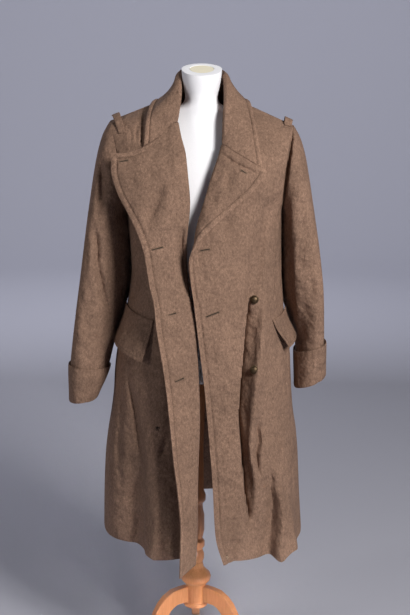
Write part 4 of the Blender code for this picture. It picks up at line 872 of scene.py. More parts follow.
def front_columns(half, row):
    """Places of the columns between side and roll line, close together in the narrow long fold."""
    if half.close_fold is None:
        return np.linspace(0.0, 1.0, FRONT_COLUMNS + 1)
    row = min(row, LOW_ROWS)
    fine = np.linspace(0.0, 1.0, FINE_PLACES)
    base = quarter(side_point(half, row), roll_point(half, row), True, fine)
    z = base[:, 2].mean()
    centre = place_of_x(base, fine, along(half.close_fold, "z", "x", z))
    reach = CLOSE_REACH * along(half.close_fold, "z", "width", z) / arc_length(base)[-1]
    low, high = max(centre - reach, CLOSE_LOW), min(centre + reach, CLOSE_HIGH)
    before, inside, after = CLOSE_COLUMNS
    return np.concatenate((
        np.linspace(0.0, low, before + 1)[:-1],
        np.linspace(low, high, inside + 1)[:-1],
        np.linspace(high, 1.0, after + 1),
    ))


def grid_normals(grid, sign, ring=False):
    """Way the cloth faces at every point of a grid."""
    if ring:
        padded = np.concatenate((grid[:, -1:], grid, grid[:, :1]), axis=1)
        across = np.gradient(padded, axis=1)[:, 1:-1]
    else:
        across = np.gradient(grid, axis=1)
    return sign * unit(np.cross(across, np.gradient(grid, axis=0)))


def shoulder_normal(half):
    run = neck_point(half) - half.shoulder
    return unit((run[2] * half.out, 0.0, abs(run[0])))


def draw_in(edge, inner, amount=SEAM / 2):
    """A seam edge moved a little into its own piece."""
    return edge + unit(inner - edge) * amount


def front_piece(half):
    """Points of a front, and its normals along the gorge. The turned-back columns stop at the gorge row."""
    rows = []
    for row in range(TOP_ROW + 1):
        turned_points, turned_normals = turned_row(half, min(row, half.gorge_row))
        rows.append(np.concatenate((front_body(half, row, front_columns(half, row)), turned_points)))
    grid = np.array(rows)
    body = grid.shape[1] - len(turned_points)
    roll_normal = grid_normals(grid[:, :body], -half.out)[half.gorge_row, -1:]
    grid[:, 0] = draw_in(grid[:, 0], grid[:, 1])
    grid[TOP_ROW, :body] = draw_in(grid[TOP_ROW, :body], grid[TOP_ROW - 1, :body])
    gorge_normals = np.concatenate((roll_normal, turned_normals))
    return SimpleNamespace(grid=grid, gorge_normals=gorge_normals, body_columns=body)


def back_grid(half):
    t = np.linspace(0.0, 1.0, BACK_COLUMNS + 1)
    grid = np.array([back_body(half, row, t) for row in range(TOP_ROW + 1)])
    grid[:, 0] = draw_in(grid[:, 0], grid[:, 1])
    grid[:, -1] = draw_in(grid[:, -1], grid[:, -2])
    grid[TOP_ROW] = draw_in(grid[TOP_ROW], grid[TOP_ROW - 1])
    return grid


def sleeve_ring(half, place):
    columns = half.sleeve[0]._fields[1:]
    row = SimpleNamespace(**{name: along(half.sleeve, "place", name, place) for name in columns})
    middle = np.array(((row.inner_x + row.outer_x) / 2, row.middle_y, (row.inner_z + row.outer_z) / 2))
    reach = np.array(((row.outer_x - row.inner_x) / 2, -row.lean, (row.outer_z - row.inner_z) / 2))
    depth = np.array((0.0, row.half_depth, 0.0))
    return np.array([middle + reach * math.cos(a) - depth * math.sin(a) for a in RING_ANGLES])


def sleeve_grid(half):
    seam = []
    for a in RING_ANGLES:
        stand_off = SEAM + CLOTH * ((1 - math.cos(a)) / 2) ** 2
        seam.append(armhole(half, a) + np.array((half.out * stand_off, 0.0, 0.0)))
    places = np.concatenate((np.linspace(SLEEVE_FROM, CUFF_FROM, SLEEVE_RINGS)[:-1], CUFF_PLACES))
    return np.array([seam] + [sleeve_ring(half, place) for place in places])


def cuff_grid(half):
    base = np.array([sleeve_ring(half, place) for place in CUFF_PLACES])
    stand_off = CUFF_REST + CUFF_FLARE * (1 - ease((CUFF_PLACES - CUFF_FROM) / (SLEEVE_END - CUFF_FROM)))
    return base + grid_normals(base, half.out, ring=True) * stand_off[:, None, None]


def collar_end(half, front):
    """End section of the collar: the top edge of the roll and lapel, moved up past the seam."""
    low, top = front.grid[half.gorge_row - 1:half.gorge_row + 1, front.body_columns - 1:]
    line = top - front.gorge_normals * (FACING + SEAM) / 2
    line = line + unit(top - low) * COLLAR_LIFT
    fall = ARC_COLUMNS + np.linspace(0.0, half.collar_share, COLLAR_FALL + 1)[1:] * LAPEL_COLUMNS
    return between(np.concatenate((COLLAR_ROLL, fall)), np.arange(len(line)), line)


def collar_section(base, place):
    """Section of the collar: up the stand, over the crest and down the fall."""
    columns = COLLAR_SHAPE[0]._fields[1:]
    row = [along(COLLAR_SHAPE, "place", name, place) for name in columns]
    crest, edge, bulge = np.array(row[:3]), np.array(row[3:6]), row[6]
    outward = unit((edge[0] - crest[0], edge[1] - crest[1], 0.0)) * CREST_HALF
    drop = np.array((0.0, 0.0, CREST_HALF))
    inner, outer = crest - outward - drop, crest + outward - drop * FALL_DROP
    share = np.linspace(0.0, 1.0, COLLAR_FALL + 1)[1:, None]
    fall = outer + share * (edge - outer)
    lift = unit(np.cross(edge - outer, np.cross(outward, drop)))
    lift = lift if lift[2] > 0 else -lift
    fall = fall + lift * bulge * 4 * share * (1 - share)
    return np.concatenate(([base, base + STAND_SHARE * (inner - base), inner, crest, outer], fall))


def collar_grid(fronts, backs):
    """Collar sections from the right lapel, round the back of the neck, to the left lapel."""
    (right, left), (right_back, left_back) = fronts, backs
    neck = np.concatenate((
        right.grid[RIGHT.gorge_row + 1:, right.body_columns - 1],
        right_back[TOP_ROW, NECK_COLUMNS - 1:0:-1],
        (right_back[TOP_ROW, 0] + left_back[TOP_ROW, 0])[None] / 2,
        left_back[TOP_ROW, 1:NECK_COLUMNS],
        left.grid[:LEFT.gorge_row:-1, left.body_columns - 1],
    ))
    places = np.concatenate((
        np.linspace(-1.0, -COLLAR_SHOULDER, TOP_ROW - RIGHT.gorge_row),
        np.linspace(-COLLAR_SHOULDER, COLLAR_SHOULDER, 2 * NECK_COLUMNS + 1)[1:-1],
        np.linspace(COLLAR_SHOULDER, 1.0, TOP_ROW - LEFT.gorge_row),
    ))
    stand = np.array((0.0, 0.0, STAND_LIFT))
    sections = [collar_section(base + stand, place) for base, place in zip(neck, places)]
    return np.array([collar_end(RIGHT, right), *sections, collar_end(LEFT, left)])


def surface_normal(surface, half, row, t):
    """Way a body surface faces at one place."""
    low, high = max(row - NORMAL_STEP_ROW, 0.0), min(row + NORMAL_STEP_ROW, float(TOP_ROW))
    up = surface(half, high, [t])[0] - surface(half, low, [t])[0]
    start, end = surface(half, row, [max(t - NORMAL_STEP_T, 0.0), min(t + NORMAL_STEP_T, 1.0)])
    return -half.out * unit(np.cross(end - start, up))


def flap_grid(half):
    """Pocket flap: the front's own points, moved out and flared away from the body at its lower edge."""
    flap = half.flap
    grid = []
    for down in np.linspace(0.0, 1.0, FLAP_ROWS + 1):
        line = []
        for share in np.linspace(0.0, 1.0, FLAP_COLUMNS + 1):
            top = flap.side_top + (flap.front_top - flap.side_top) * share
            low = flap.side_low + (flap.front_low - flap.side_low) * share
            t = flap.side_t + (flap.front_t - flap.side_t) * share + flap.slant * down * share
            row = top + (low - top) * down
            normal = surface_normal(front_body, half, row, t)
            spread = flap.side_flare + (1 - flap.side_flare) * ease(share / FLAP_FLARE_SPAN)
            stand_off = CLOTH / 2 + SEAM + FLAP / 2 + FLAP_CLEAR + FLAP_FLARE * spread * ease(down)
            line.append(front_body(half, row, [t])[0] + normal * stand_off)
        grid.append(line)
    return np.array(grid)


def loop_grid(half):
    """Shoulder loop: a strip over the shoulder seam, sewn down at both ends and raised in the middle."""
    turn = NECK_COLUMNS / BACK_COLUMNS
    grid = []
    for step in np.linspace(-1.0, 1.0, LOOP_STEPS + 1):
        row = TOP_ROW - abs(step) * (half.loop.front if step <= 0 else half.loop.back)
        centre = half.loop.t + half.loop.slant * max(-step, 0.0)
        line = []
        for t in (centre - LOOP_HALF_T, centre, centre + LOOP_HALF_T):
            back_t = turn + (1 - turn) * (1 - t)
            surface, at = (front_body, t) if step <= 0 else (back_body, back_t)
            normal = surface_normal(surface, half, min(row, TOP_ROW - LOOP_NORMAL_ROW), at)
            if abs(step) < 1 / LOOP_STEPS:
                normal = shoulder_normal(half)
            rise = LOOP_RISE * ease((1 - abs(step)) / LOOP_RAMP)
            stand_off = CLOTH / 2 + SEAM + LOOP / 2 + LOOP_CLEAR + rise
            line.append(surface(half, row, [at])[0] + normal * stand_off)
        grid.append(line)
    return np.array(grid)


# Finer cloth, on smooth curves through the points of the plain pieces


def finer(points, steps, ring=False):
    """Smooth curves along the first axis, with a number of steps from each point to the next."""
    if ring:
        points = np.concatenate((points[-1:], points, points[:2]))
    gaps = np.diff(points, axis=0)
    lengths = np.maximum(np.linalg.norm(gaps, axis=-1, keepdims=True), TINY)
    slopes = gaps / lengths
    inner = (lengths[1:] * slopes[:-1] + lengths[:-1] * slopes[1:]) / (lengths[1:] + lengths[:-1])
    bend = np.sum(slopes[1:] * slopes[:-1], axis=-1, keepdims=True)
    inner = inner * np.clip((bend - CORNER_BEND) / (SMOOTH_BEND - CORNER_BEND), 0.0, 1.0)
    tangents = np.concatenate((slopes[:1], inner, slopes[-1:]))
    curve = []
    for i, count in enumerate(steps, start=1 if ring else 0):
        u = (np.arange(count) / count).reshape(-1, *[1] * (points.ndim - 1))
        curve.append(smooth(u, points[i], points[i + 1], lengths[i], tangents[i], tangents[i + 1]))
    if not ring:
        curve.append(points[-1:])
    return np.concatenate(curve)


def finer_across(grid, steps, ring=False):
    return finer(grid.swapaxes(0, 1), steps, ring).swapaxes(0, 1)


def fine_places(steps):
    """Place of each finer row, counted in rows of the plain piece."""
    starts = [k + np.arange(count) / count for k, count in enumerate(steps)]
    return np.concatenate((*starts, (float(len(steps)),)))


def blend_edge(normals, edge, seam_normals):
    """Turns the normals near an edge, an axis and its end, slowly into those shared along the seam there."""
    rows = np.moveaxis(normals, edge[0], 0)
    rows = rows if edge[1] == 0 else rows[::-1]
    for k in range(SEAM_BLEND):
        share = k / SEAM_BLEND
        rows[k] = unit(share * rows[k] + (1 - share) * seam_normals)


def ease_rows(grid, middle, side):
    """Softens the bend where the armhole starts, but not along the side edge, which other pieces share."""
    inward = np.arange(grid.shape[1]) if side == 0 else np.arange(grid.shape[1])[::-1]
    share = np.minimum(inward / EASE_COLUMNS, 1.0)[:, None]
    low, high = middle - EASE_ROWS, middle + EASE_ROWS + 1
    fall = 1 - (np.arange(-EASE_ROWS, EASE_ROWS + 1) / (EASE_ROWS + 1)) ** 2
    for _ in range(EASE_PASSES):
        softer = (grid[low - 1:high - 1] + grid[low + 1:high + 1]) / 2
        grid[low:high] += (softer - grid[low:high]) * EASE_SHARE * fall[:, None, None] * share


def body_seam_normals(half, facing):
    """Way the body faces along its side seam and its half of the armhole."""
    return np.array([
        armhole_normal(half, facing * arm_angle(row), False) if row > LOW_ROWS else (half.out, 0.0, 0.0)
        for row in fine_places(ROW_STEPS)
    ])


def cloth_piece(grid, normals_of, ring=False, **more):
    """A piece of cloth: its points, the way they face and which face shows. Renewed after points move."""
    piece = SimpleNamespace(grid=grid, ring=ring, cells=None, seen=np.ones(grid.shape[:2]))
    vars(piece).update(more)
    piece.renew = lambda: setattr(piece, "normals", normals_of(piece))
    piece.renew()
    return piece


def front_normals(half, piece):
    split, turned_rows = piece.split, piece.turned_rows
    normals = np.zeros_like(piece.grid)
    normals[:, :split] = grid_normals(piece.grid[:, :split], -half.out)
    wide = grid_normals(piece.grid[:turned_rows], -half.out)
    level = unit(wide[:, split:] * (1.0, 1.0, 0.0))
    normals[:turned_rows, split - 1] = wide[:, split - 1]
    above = np.repeat(level[-1:], len(piece.grid) - turned_rows, axis=0)
    normals[:, split:] = np.concatenate((level, above))
    blend_edge(normals, (1, 0), body_seam_normals(half, 1.0))
    blend_edge(normals[:, :split], (0, -1), shoulder_normal(half))
    return normals


def back_normals(half, piece):
    normals = grid_normals(piece.grid, -half.out)
    rise = np.gradient(piece.grid[:, 0], axis=0)
    middle = unit(np.column_stack((np.zeros(len(rise)), rise[:, 2], -rise[:, 1])))
    blend_edge(normals, (1, 0), middle)
    blend_edge(normals, (1, -1), body_seam_normals(half, -1.0))
    blend_edge(normals[:, NECK_COLUMNS * BACK_STEPS:], (0, -1), shoulder_normal(half))
    return normals


def sleeve_normals(half, piece):
    turns = RING_ANGLES[0] + np.arange(piece.grid.shape[1]) * math.pi / ARM_ROWS / RING_STEPS
    seam = np.array([armhole_normal(half, (a + math.pi) % (2 * math.pi) - math.pi, True) for a in turns])
    normals = grid_normals(piece.grid, half.out, ring=True)
    blend_edge(normals, (0, 0), seam)
    return normals


def fine_front(half, plain):
    body, gorge = plain.body_columns, half.gorge_row
    body_steps = [FRONT_STEPS] * (body - 1)
    if half.close_fold is not None:
        body_steps = [step for step, count in zip(CLOSE_STEPS, CLOSE_COLUMNS) for _ in range(count)]
    turned_steps = [ARC_STEPS] * ARC_COLUMNS + list(LAPEL_STEPS)
    wide = finer_across(plain.grid[:gorge + 1], body_steps + turned_steps)
    narrow = finer_across(plain.grid[gorge + 1:, :body], body_steps)
    split = sum(body_steps) + 1
    body_grid = finer(np.concatenate((wide[:, :split], narrow)), ROW_STEPS)
    turned_grid = finer(wide[:, split:], ROW_STEPS[:gorge])
    turned_rows = len(turned_grid)
    fill = np.repeat(turned_grid[-1:], len(body_grid) - turned_rows, axis=0)
    grid = np.concatenate((body_grid, np.concatenate((turned_grid, fill))), axis=1)
    ease_rows(grid[:turned_rows], ROW_STEPS[0] * LOW_ROWS, 0)
    cells = np.ones((len(grid) - 1, grid.shape[1] - 1), bool)
    cells[turned_rows - 1:, split - 1:] = False
    seen = np.ones(grid.shape[:2])
    seen[ROW_STEPS[0] * half.break_row:, split + ARC_COLUMNS * ARC_STEPS // 2:] = -1.0
    shape = {"cells": cells, "seen": seen, "split": split, "turned_rows": turned_rows}
    return cloth_piece(grid, partial(front_normals, half), **shape)


def fine_back(half, plain):
    grid = finer(finer_across(plain, [BACK_STEPS] * BACK_COLUMNS), ROW_STEPS)
    ease_rows(grid, ROW_STEPS[0] * LOW_ROWS, -1)
    return cloth_piece(grid, partial(back_normals, half))


def fine_sleeve(half, plain):
    grid = finer_across(plain, [RING_STEPS] * len(RING_ANGLES), ring=True)
    grid = finer(grid, [SLEEVE_STEPS] * (len(plain) - 1))
    return cloth_piece(grid, partial(sleeve_normals, half), ring=True)


def fine_plain(grid, row_steps, column_steps, sign, ring=False):
    """A small piece with no seam of its own to match."""
    grid = finer(finer_across(grid, column_steps, ring), row_steps)
    return cloth_piece(grid, lambda piece: grid_normals(piece.grid, sign, ring), ring)


def fine_facing(half, front):
    """The layer on the turned-back part of a front, made from its points moved out."""
    first = ROW_STEPS[0] * half.facing_row
    rows, columns = slice(first, front.turned_rows), slice(front.split - 1, None)
    normals = -front.normals[rows, columns]
    grid = front.grid[rows, columns] + normals * (CLOTH / 2 + SEAM + FACING / 2)
    # The facing takes the front's lighter painted edges: rubbed wear and painted highlight
    wear = front.wear[rows, columns]
    seen = np.ones(grid.shape[:2])
    return SimpleNamespace(grid=grid, normals=normals, cells=None, wear=wear, seen=seen, ring=False)


# Creases, edges and grooves


def view_plane(view):
    """Axes of a view: across, and the way to the viewer."""
    toward = {"front": (0, -1, 0), "back": (0, 1, 0), "right": (-1, 0, 0), "left": (1, 0, 0)}[view]
    return (0 if toward[0] == 0 else 1), np.array(toward, float)


def found_on(piece, view, across, z):
    """Row and column of the piece's point that shows at a place in a view."""
    axis, toward = view_plane(view)
    outward = piece.normals * piece.seen[..., None]
    off = np.hypot(piece.grid[..., axis] - across, piece.grid[..., 2] - z)
    off = off + np.where(outward @ toward > FACES_VIEW, 0.0, HIDDEN)
    near = off < max(FOUND_REACH, off.min() + TINY)
    return np.unravel_index(np.argmax(np.where(near, piece.grid @ toward - off, -HIDDEN)), off.shape)


def press(piece, creases):
    """Soft troughs and ridges along listed lines. A positive depth stands toward the viewer."""
    move = np.zeros_like(piece.grid)
    for view, table in creases:
        axis, toward = view_plane(view)
        spots = [found_on(piece, view, row.across, row.z) for row in table]
        side = piece.seen[spots[0]]
        steps = [CREASE_STEPS] * (len(spots) - 1)
        line = finer(np.array([piece.grid[spot] for spot in spots]), steps)
        place, stops = fine_places(steps), np.arange(len(table))
        depth, width, lean = (
            np.interp(place, stops, values(table, name)) for name in ("depth", "width", "lean"))
        away = piece.grid[:, :, None] - line
        through = view == "front" and min(depth) <= THROUGH
        off = np.linalg.norm(away - (away @ toward)[..., None] * toward if through else away, axis=-1)
        nearest = off.argmin(axis=-1)
        wider = np.sign(piece.grid[..., axis] - line[nearest][..., axis])
        spread = off.min(axis=-1) / (width[nearest] * (1 + lean[nearest] * wider))
        layer = (piece.seen == side) | through
        move += np.where(layer, depth[nearest] * np.exp(-spread ** 2), 0.0)[..., None] * toward
    piece.grid = piece.grid + move
    piece.renew()


def lay_pleat(piece, table):
    """Lays the long fold: flat cloth up to an edge, a drop behind it and a straight rise beside it."""
    heights = values(table, "z")
    for row in piece.grid[:, :piece.split]:
        edge, drop, run = (
            np.interp(row[:, 2], heights, values(table, name)) for name in ("edge", "drop", "run"))
        u = row[:, 0] - edge
        here = np.abs(u).argmin()
        if drop[here] <= 0.0:
            continue
        x, y = row[::-1, 0], row[::-1, 1]
        near, far = edge[here] - PLEAT_FLAT, edge[here] - 2 * PLEAT_FLAT
        y_near, y_far, y_end = np.interp((near, far, edge[here] + run[here]), x, y)
        slope = (y_near - y_far) / PLEAT_FLAT
        flat = y_near + slope * (row[:, 0] - near)
        y_edge = y_near + slope * PLEAT_FLAT
        share = np.clip(u / run, 0.0, 1.0)
        slot = PLEAT_SLOT * np.exp(-(u / PLEAT_SLOT_WIDTH) ** 2)
        rise = (y_edge + drop) * (1 - share) + y_end * share + slot
        target = np.where(u > 0, rise, flat)
        inside = (u > -PLEAT_FLAT) & (u < run)
        strength = np.clip(drop / PLEAT_FADE, 0.0, 1.0)
        row[:, 1] = np.where(inside, row[:, 1] + strength * (target - row[:, 1]), row[:, 1])
    piece.renew()


def hang(piece, dips):
    """Lets the hem hang lower at some places."""
    low = np.exp(-(piece.grid[..., 2] - piece.grid[0, :, 2]) / DIP_REACH)
    for dip in dips:
        near = np.exp(-((piece.grid[..., 0] - dip.x) / dip.width) ** 2)
        piece.grid[..., 2] -= dip.drop * low * near * (piece.seen > 0)
    piece.renew()


def distance_in(points):
    """Length of cloth from the last point of each line along the first axis."""
    steps = np.linalg.norm(np.diff(points[::-1], axis=0), axis=-1)
    lengths = np.concatenate((np.zeros((1, *steps.shape[1:])), np.cumsum(steps, axis=0)))
    return lengths[::-1]


def distance_across(grid):
    """Length of cloth from the last point of each row."""
    return distance_in(grid.swapaxes(0, 1)).T


def edge_distances(half, block):
    """Lengths of cloth to the front edge, and to the free part of the lapel's top edge."""
    lapel = np.maximum(np.arange(block.shape[1]) - ARC_COLUMNS * ARC_STEPS, 0)
    share = fine_places(list(LAPEL_STEPS))[lapel] / LAPEL_COLUMNS
    return distance_across(block), distance_in(block) + np.where(share > half.collar_share, 0.0, HIDDEN)


def groove(distance, inset):
    """Rise and fall of a sewn edge: a groove along the stitches and a soft roll outside it."""
    dip = np.exp(-((distance - inset) / GROOVE_WIDTH) ** 2) * GROOVE_DEPTH
    roll = np.exp(-((distance - inset / 2) / (inset / 2)) ** 2) * ROLL_HEIGHT
    return roll - dip


def sew_front_edge(half, front):
    rows, columns = slice(0, front.turned_rows), slice(front.split - 1, None)
    to_edge, to_top = edge_distances(half, front.grid[rows, columns])
    shift = groove(np.minimum(to_edge, to_top), EDGE_INSET) * front.seen[rows, columns]
    front.grid[rows, columns] += front.normals[rows, columns] * shift[..., None]
    # Sewn edges of the front painted lighter: rubbed wear, and painted highlight where the raised roll
    # catches light
    front.wear = np.zeros(front.grid.shape[:2])
    front.wear[rows, columns] = np.exp(-(np.minimum(to_edge, to_top) / EDGE_WEAR_AND_HIGHLIGHT_WIDTH) ** 2)
    front.renew()


def sew_collar_edge(piece):
    """Groove along the last column of the collar, and its edge painted lighter: rubbed wear, and painted
    highlight where the raised roll catches light.
    """
    to_edge = distance_across(piece.grid)
    piece.grid = piece.grid + piece.normals * groove(to_edge, EDGE_INSET)[..., None]
    piece.wear = np.exp(-(to_edge / EDGE_WEAR_AND_HIGHLIGHT_WIDTH) ** 2)
    piece.renew()


def inset_line(piece, lift, distance, inset, blocked=None):
    """Points and normals of a sewing line on the outer face, at a length of cloth from the last column."""
    points, normals = [], []
    stops = np.arange(piece.grid.shape[1])
    for row in range(len(piece.grid)):
        if distance[row].max() < inset or distance[row].min() > inset:
            continue
        place = np.interp(-inset, -distance[row], stops)
        if blocked is not None and np.interp(place, stops, blocked[row]) < inset:
            continue
        normal = unit(between(place, stops, piece.normals[row])[0])
        points.append(between(place, stops, piece.grid[row])[0] + normal * lift)
        normals.append(normal)
    return np.array(points), np.array(normals)


def turned_over(piece):
    """The piece with its rows and columns exchanged."""
    return SimpleNamespace(grid=piece.grid.swapaxes(0, 1), normals=piece.normals.swapaxes(0, 1))


def plane_points(piece, x, z, lift):
    """Points on the flat through a piece's outer face where it shows from the front, and the way it faces."""
    spot = found_on(piece, "front", np.mean(x), np.mean(z))
    normal = piece.normals[spot] * piece.seen[spot]
    centre = piece.grid[spot] + normal * lift
    y = centre[1] - ((x - centre[0]) * normal[0] + (z - centre[2]) * normal[2]) / normal[1]
    return np.column_stack((x, y, z)), normal


@lru_cache
def coat():
    """All cloth of the coat as fine grids, with its creases and sewn edges."""
    plain_fronts = [front_piece(half) for half in HALVES]
    plain_backs = [back_grid(half) for half in HALVES]
    pieces = {}
    for half, plain_front, plain_back in zip(HALVES, plain_fronts, plain_backs):
        front = fine_front(half, plain_front)
        if half.pleat is not None:
            lay_pleat(front, half.pleat)
        press(front, half.front_creases)
        hang(front, half.dips)
        sew_front_edge(half, front)
        back = fine_back(half, plain_back)
        press(back, half.back_creases)
        sleeve = fine_sleeve(half, sleeve_grid(half))
        press(sleeve, half.sleeve_creases)
        ring_steps = [RING_STEPS] * len(RING_ANGLES)
        cuff = fine_plain(cuff_grid(half), [CUFF_FINE] * CUFF_STEPS, ring_steps, half.out, ring=True)
        press(cuff, half.cuff_creases)
        flap = fine_plain(flap_grid(half), [FLAP_FINE] * FLAP_ROWS, [FLAP_FINE] * FLAP_COLUMNS, half.out)
        drop = np.linspace(0.0, 1.0, len(flap.grid))[:, None, None]
        flap.grid = flap.grid + flap.normals * FLAP_LIFT * drop ** 2
        flap.renew()
        loop = fine_plain(loop_grid(half), [LOOP_FINE] * LOOP_STEPS, [LOOP_FINE] * 2, -half.out)
        made = {
            "front": front, "facing": fine_facing(half, front), "back": back, "sleeve": sleeve, "cuff": cuff,
            "pocket_flap": flap, "shoulder_loop": loop,
        }
        pieces.update({f"{name}_{half.name}": piece for name, piece in made.items()})
    plain_collar = collar_grid(plain_fronts, plain_backs)
    row_steps = [COLLAR_ROW_STEPS] * (len(plain_collar) - 1)
    pieces["collar"] = fine_plain(plain_collar, row_steps, COLLAR_STEPS, -1.0)
    sew_collar_edge(pieces["collar"])
    return pieces


# Meshes and objects


def wall(piece, thickness):
    """Closed wall round a piece's grid, thinner at its rim: points, faces and, for each point, how much
    lighter it is painted for edge wear and painted highlight.
    """
    rows, columns = piece.grid.shape[:2]
    spans = columns if piece.ring else columns - 1
    cells = np.ones((rows - 1, spans), bool) if piece.cells is None else piece.cells
    count = rows * columns
    number = np.arange(count).reshape(rows, columns)
    after = np.roll(number, -1, axis=1)
    loops = np.stack((number[:-1], after[:-1], after[1:], number[1:]), axis=-1)[:, :spans][cells]
    edges = np.concatenate([loops[:, (k, (k + 1) % 4)] for k in range(4)])
    _, first, uses = np.unique(np.sort(edges, axis=1), axis=0, return_index=True, return_counts=True)
    rim = edges[first[uses == 1]]
    lift = np.full(count, thickness / 2)
    lift[np.unique(rim)] *= RIM_SHARE
    points, normals = piece.grid.reshape(-1, 3), piece.normals.reshape(-1, 3)
    sides = np.concatenate((points + normals * lift[:, None], points - normals * lift[:, None]))
    edge_faces = np.column_stack((rim[:, 1], rim[:, 0], rim[:, 0] + count, rim[:, 1] + count))
    faces = np.concatenate((loops, loops[:, ::-1] + count, edge_faces))
    across, up = (points[loops[:, k]] - points[loops[:, 0]] for k in (1, 3))
    if np.sum(np.cross(across, up) * normals[loops[:, 0]]) < 0:
        faces = faces[:, ::-1]
    used, packed = np.unique(faces, return_inverse=True)
    wear = np.tile(getattr(piece, "wear", np.zeros((rows, columns))).ravel(), 2)
    return sides[used], packed.reshape(faces.shape), wear[used]


def add_object(name, points, faces, material, slot, node=None):
    mesh = bpy.data.meshes.new(name)
    mesh.from_pydata((np.asarray(points) + AXIS).tolist(), [], [tuple(face) for face in faces])
    mesh.validate()
    mesh.shade_smooth()
    mesh.set_sharp_from_angle(angle=SHARP_ANGLE)
    mesh.materials.append(material)
    obj = bpy.data.objects.new(name, mesh)
    bpy.context.scene.collection.objects.link(obj)
    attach(obj, "root")
    if node is not None:
        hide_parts(node)
    return obj


def add_cloth(name, thickness, flat, held, *rests_on):
    """A wool piece on its plain solid. Its flat size, hold and the pieces it rests on are not used."""
    piece = coat()[name]
    points, faces, wear = wall(piece, thickness)
    obj = add_object(f"{name}_cloth", points, faces, milled_wool(), "wool", name)
    # Carries the lighter painting of the sewn edges onto the mesh: rubbed wear and painted highlight
    obj.data.attributes.new("wear", "FLOAT", "POINT").data.foreach_set("value", wear)


def rings_mesh(rings):
    """Points and faces of a closed tube through equal rings of points."""
    rings = np.asarray(rings, float)
    count, sides = rings.shape[:2]
    number = np.arange(count * sides).reshape(count, sides)
    after = np.roll(number, -1, axis=1)
    tube = np.stack((number[:-1], after[:-1], after[1:], number[1:]), axis=-1).reshape(-1, 4)
    faces = [tuple(face) for face in tube] + [tuple(number[0][::-1]), tuple(number[-1])]
    return rings.reshape(-1, 3), faces


def turned(profile, segments):
    """Rings of a turned piece from heights and radii."""
    angles = 2 * math.pi * np.arange(segments) / segments
    x, y = np.cos(angles), np.sin(angles)
    return np.array([np.column_stack((r * x, r * y, np.full(segments, z))) for z, r in profile])


def thread(points, normals, radius):
    """Closed thread through points, thinner at both ends."""
    run = unit(np.gradient(points, axis=0))
    side = unit(np.cross(run, normals))
    out = np.cross(side, run)
    angles = 2 * math.pi * np.arange(STITCH_SIDES) / STITCH_SIDES
    size = np.full(len(points), radius)
    size[[0, -1]] *= THREAD_ENDS
    circle = np.cos(angles)[:, None] * side[:, None] + np.sin(angles)[:, None] * out[:, None]
    return rings_mesh(points[:, None] + circle * size[:, None, None])


def joined(parts):
    points, faces, start = [], [], 0
    for part_points, part_faces in parts:
        points.append(part_points)
        faces += [tuple(int(corner) + start for corner in face) for face in part_faces]
        start += len(part_points)
    return np.concatenate(points), faces


def stitches_along(points, normals):
    """Single stitches sunk into the cloth along a line."""
    steps = np.linalg.norm(np.diff(points, axis=0), axis=1)
    place = np.concatenate(((0.0,), np.cumsum(steps)))
    shares = np.linspace(0.0, 1.0, len(STITCH_RISE))
    made = []
    for start in np.arange(STITCH_PITCH / 2, place[-1] - STITCH_LENGTH, STITCH_PITCH):
        stops = start + STITCH_LENGTH * shares
        normal = unit(between(stops, place, normals))
        rise = STITCH_RADIUS * np.array(STITCH_RISE)
        made.append(thread(between(stops, place, points) + normal * rise[:, None], normal, STITCH_RADIUS))
    return made


def frame_mesh(name):
    """A copy of a CAD node's own surface with its points joined and its triangles paired."""
    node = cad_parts[name]
    shape = bmesh.new()
    shape.from_mesh(node.data)
    bmesh.ops.transform(shape, matrix=node.matrix_world, verts=shape.verts)
    bmesh.ops.translate(shape, vec=-Vector(AXIS), verts=shape.verts)
    bmesh.ops.remove_doubles(shape, verts=shape.verts, dist=TINY)
    bmesh.ops.join_triangles(
        shape, faces=shape.faces, angle_face_threshold=math.pi, angle_shape_threshold=math.pi,
        topology_influence=2.0)
    shape.verts.index_update()
    points = np.array([tuple(vert.co) for vert in shape.verts])
    faces = [tuple(vert.index for vert in face.verts) for face in shape.faces]
    shape.free()
    return points, faces


def frame_profile(name):
    """Heights and radii of a turned CAD node."""
    points, _ = frame_mesh(name)
    heights = np.round(points[:, 2], HEIGHT_DIGITS)
    radii = np.hypot(points[:, 0], points[:, 1])
    return [(z, radii[heights == z].max()) for z in np.unique(heights)]


# Materials


def colour(text):
    """Linear colour from an sRGB hex code."""
    shares = [int(text[k:k + 2], 16) / 255 for k in (0, 2, 4)]
    return (*[s / 12.92 if s <= 0.04045 else ((s + 0.055) / 1.055) ** 2.4 for s in shares], 1.0)


def add_node(tree, kind, inputs=None, **settings):
    """A shader node with its settings. Inputs are values or sockets of other nodes."""
    made = tree.nodes.new(kind)
    for name, value in settings.items():
        setattr(made, name, value)
    for key, value in (inputs or {}).items():
        if isinstance(value, bpy.types.NodeSocket):
            tree.links.new(value, made.inputs[key])
        else:
            made.inputs[key].default_value = value
    return made


def new_material(name, values):
    """A material, its nodes and its shader, with constant values on the shader's own sockets."""
    material = bpy.data.materials.new(name)
    material.use_nodes = True
    shader = material.node_tree.nodes["Principled BSDF"]
    for key, value in values.items():
        shader.inputs[key].default_value = value
    return material, material.node_tree, shader


def object_place(tree):
    return add_node(tree, "ShaderNodeTexCoord").outputs["Object"]


def stretched(tree, place, stretch):
    return add_node(tree, "ShaderNodeMapping", {"Vector": place, "Scale": stretch}).outputs["Vector"]


def noise(tree, place, per_metre, detail):
    inputs = {"Vector": place, "Scale": per_metre, "Detail": detail}
    return add_node(tree, "ShaderNodeTexNoise", inputs).outputs["Fac"]


def rescaled(tree, value, *limits):
    """A value moved from one range to another. The limits are both ends of the first, then of the second."""
    ends = dict(zip(("From Min", "From Max", "To Min", "To Max"), limits))
    return add_node(tree, "ShaderNodeMapRange", {"Value": value, **ends}).outputs["Result"]


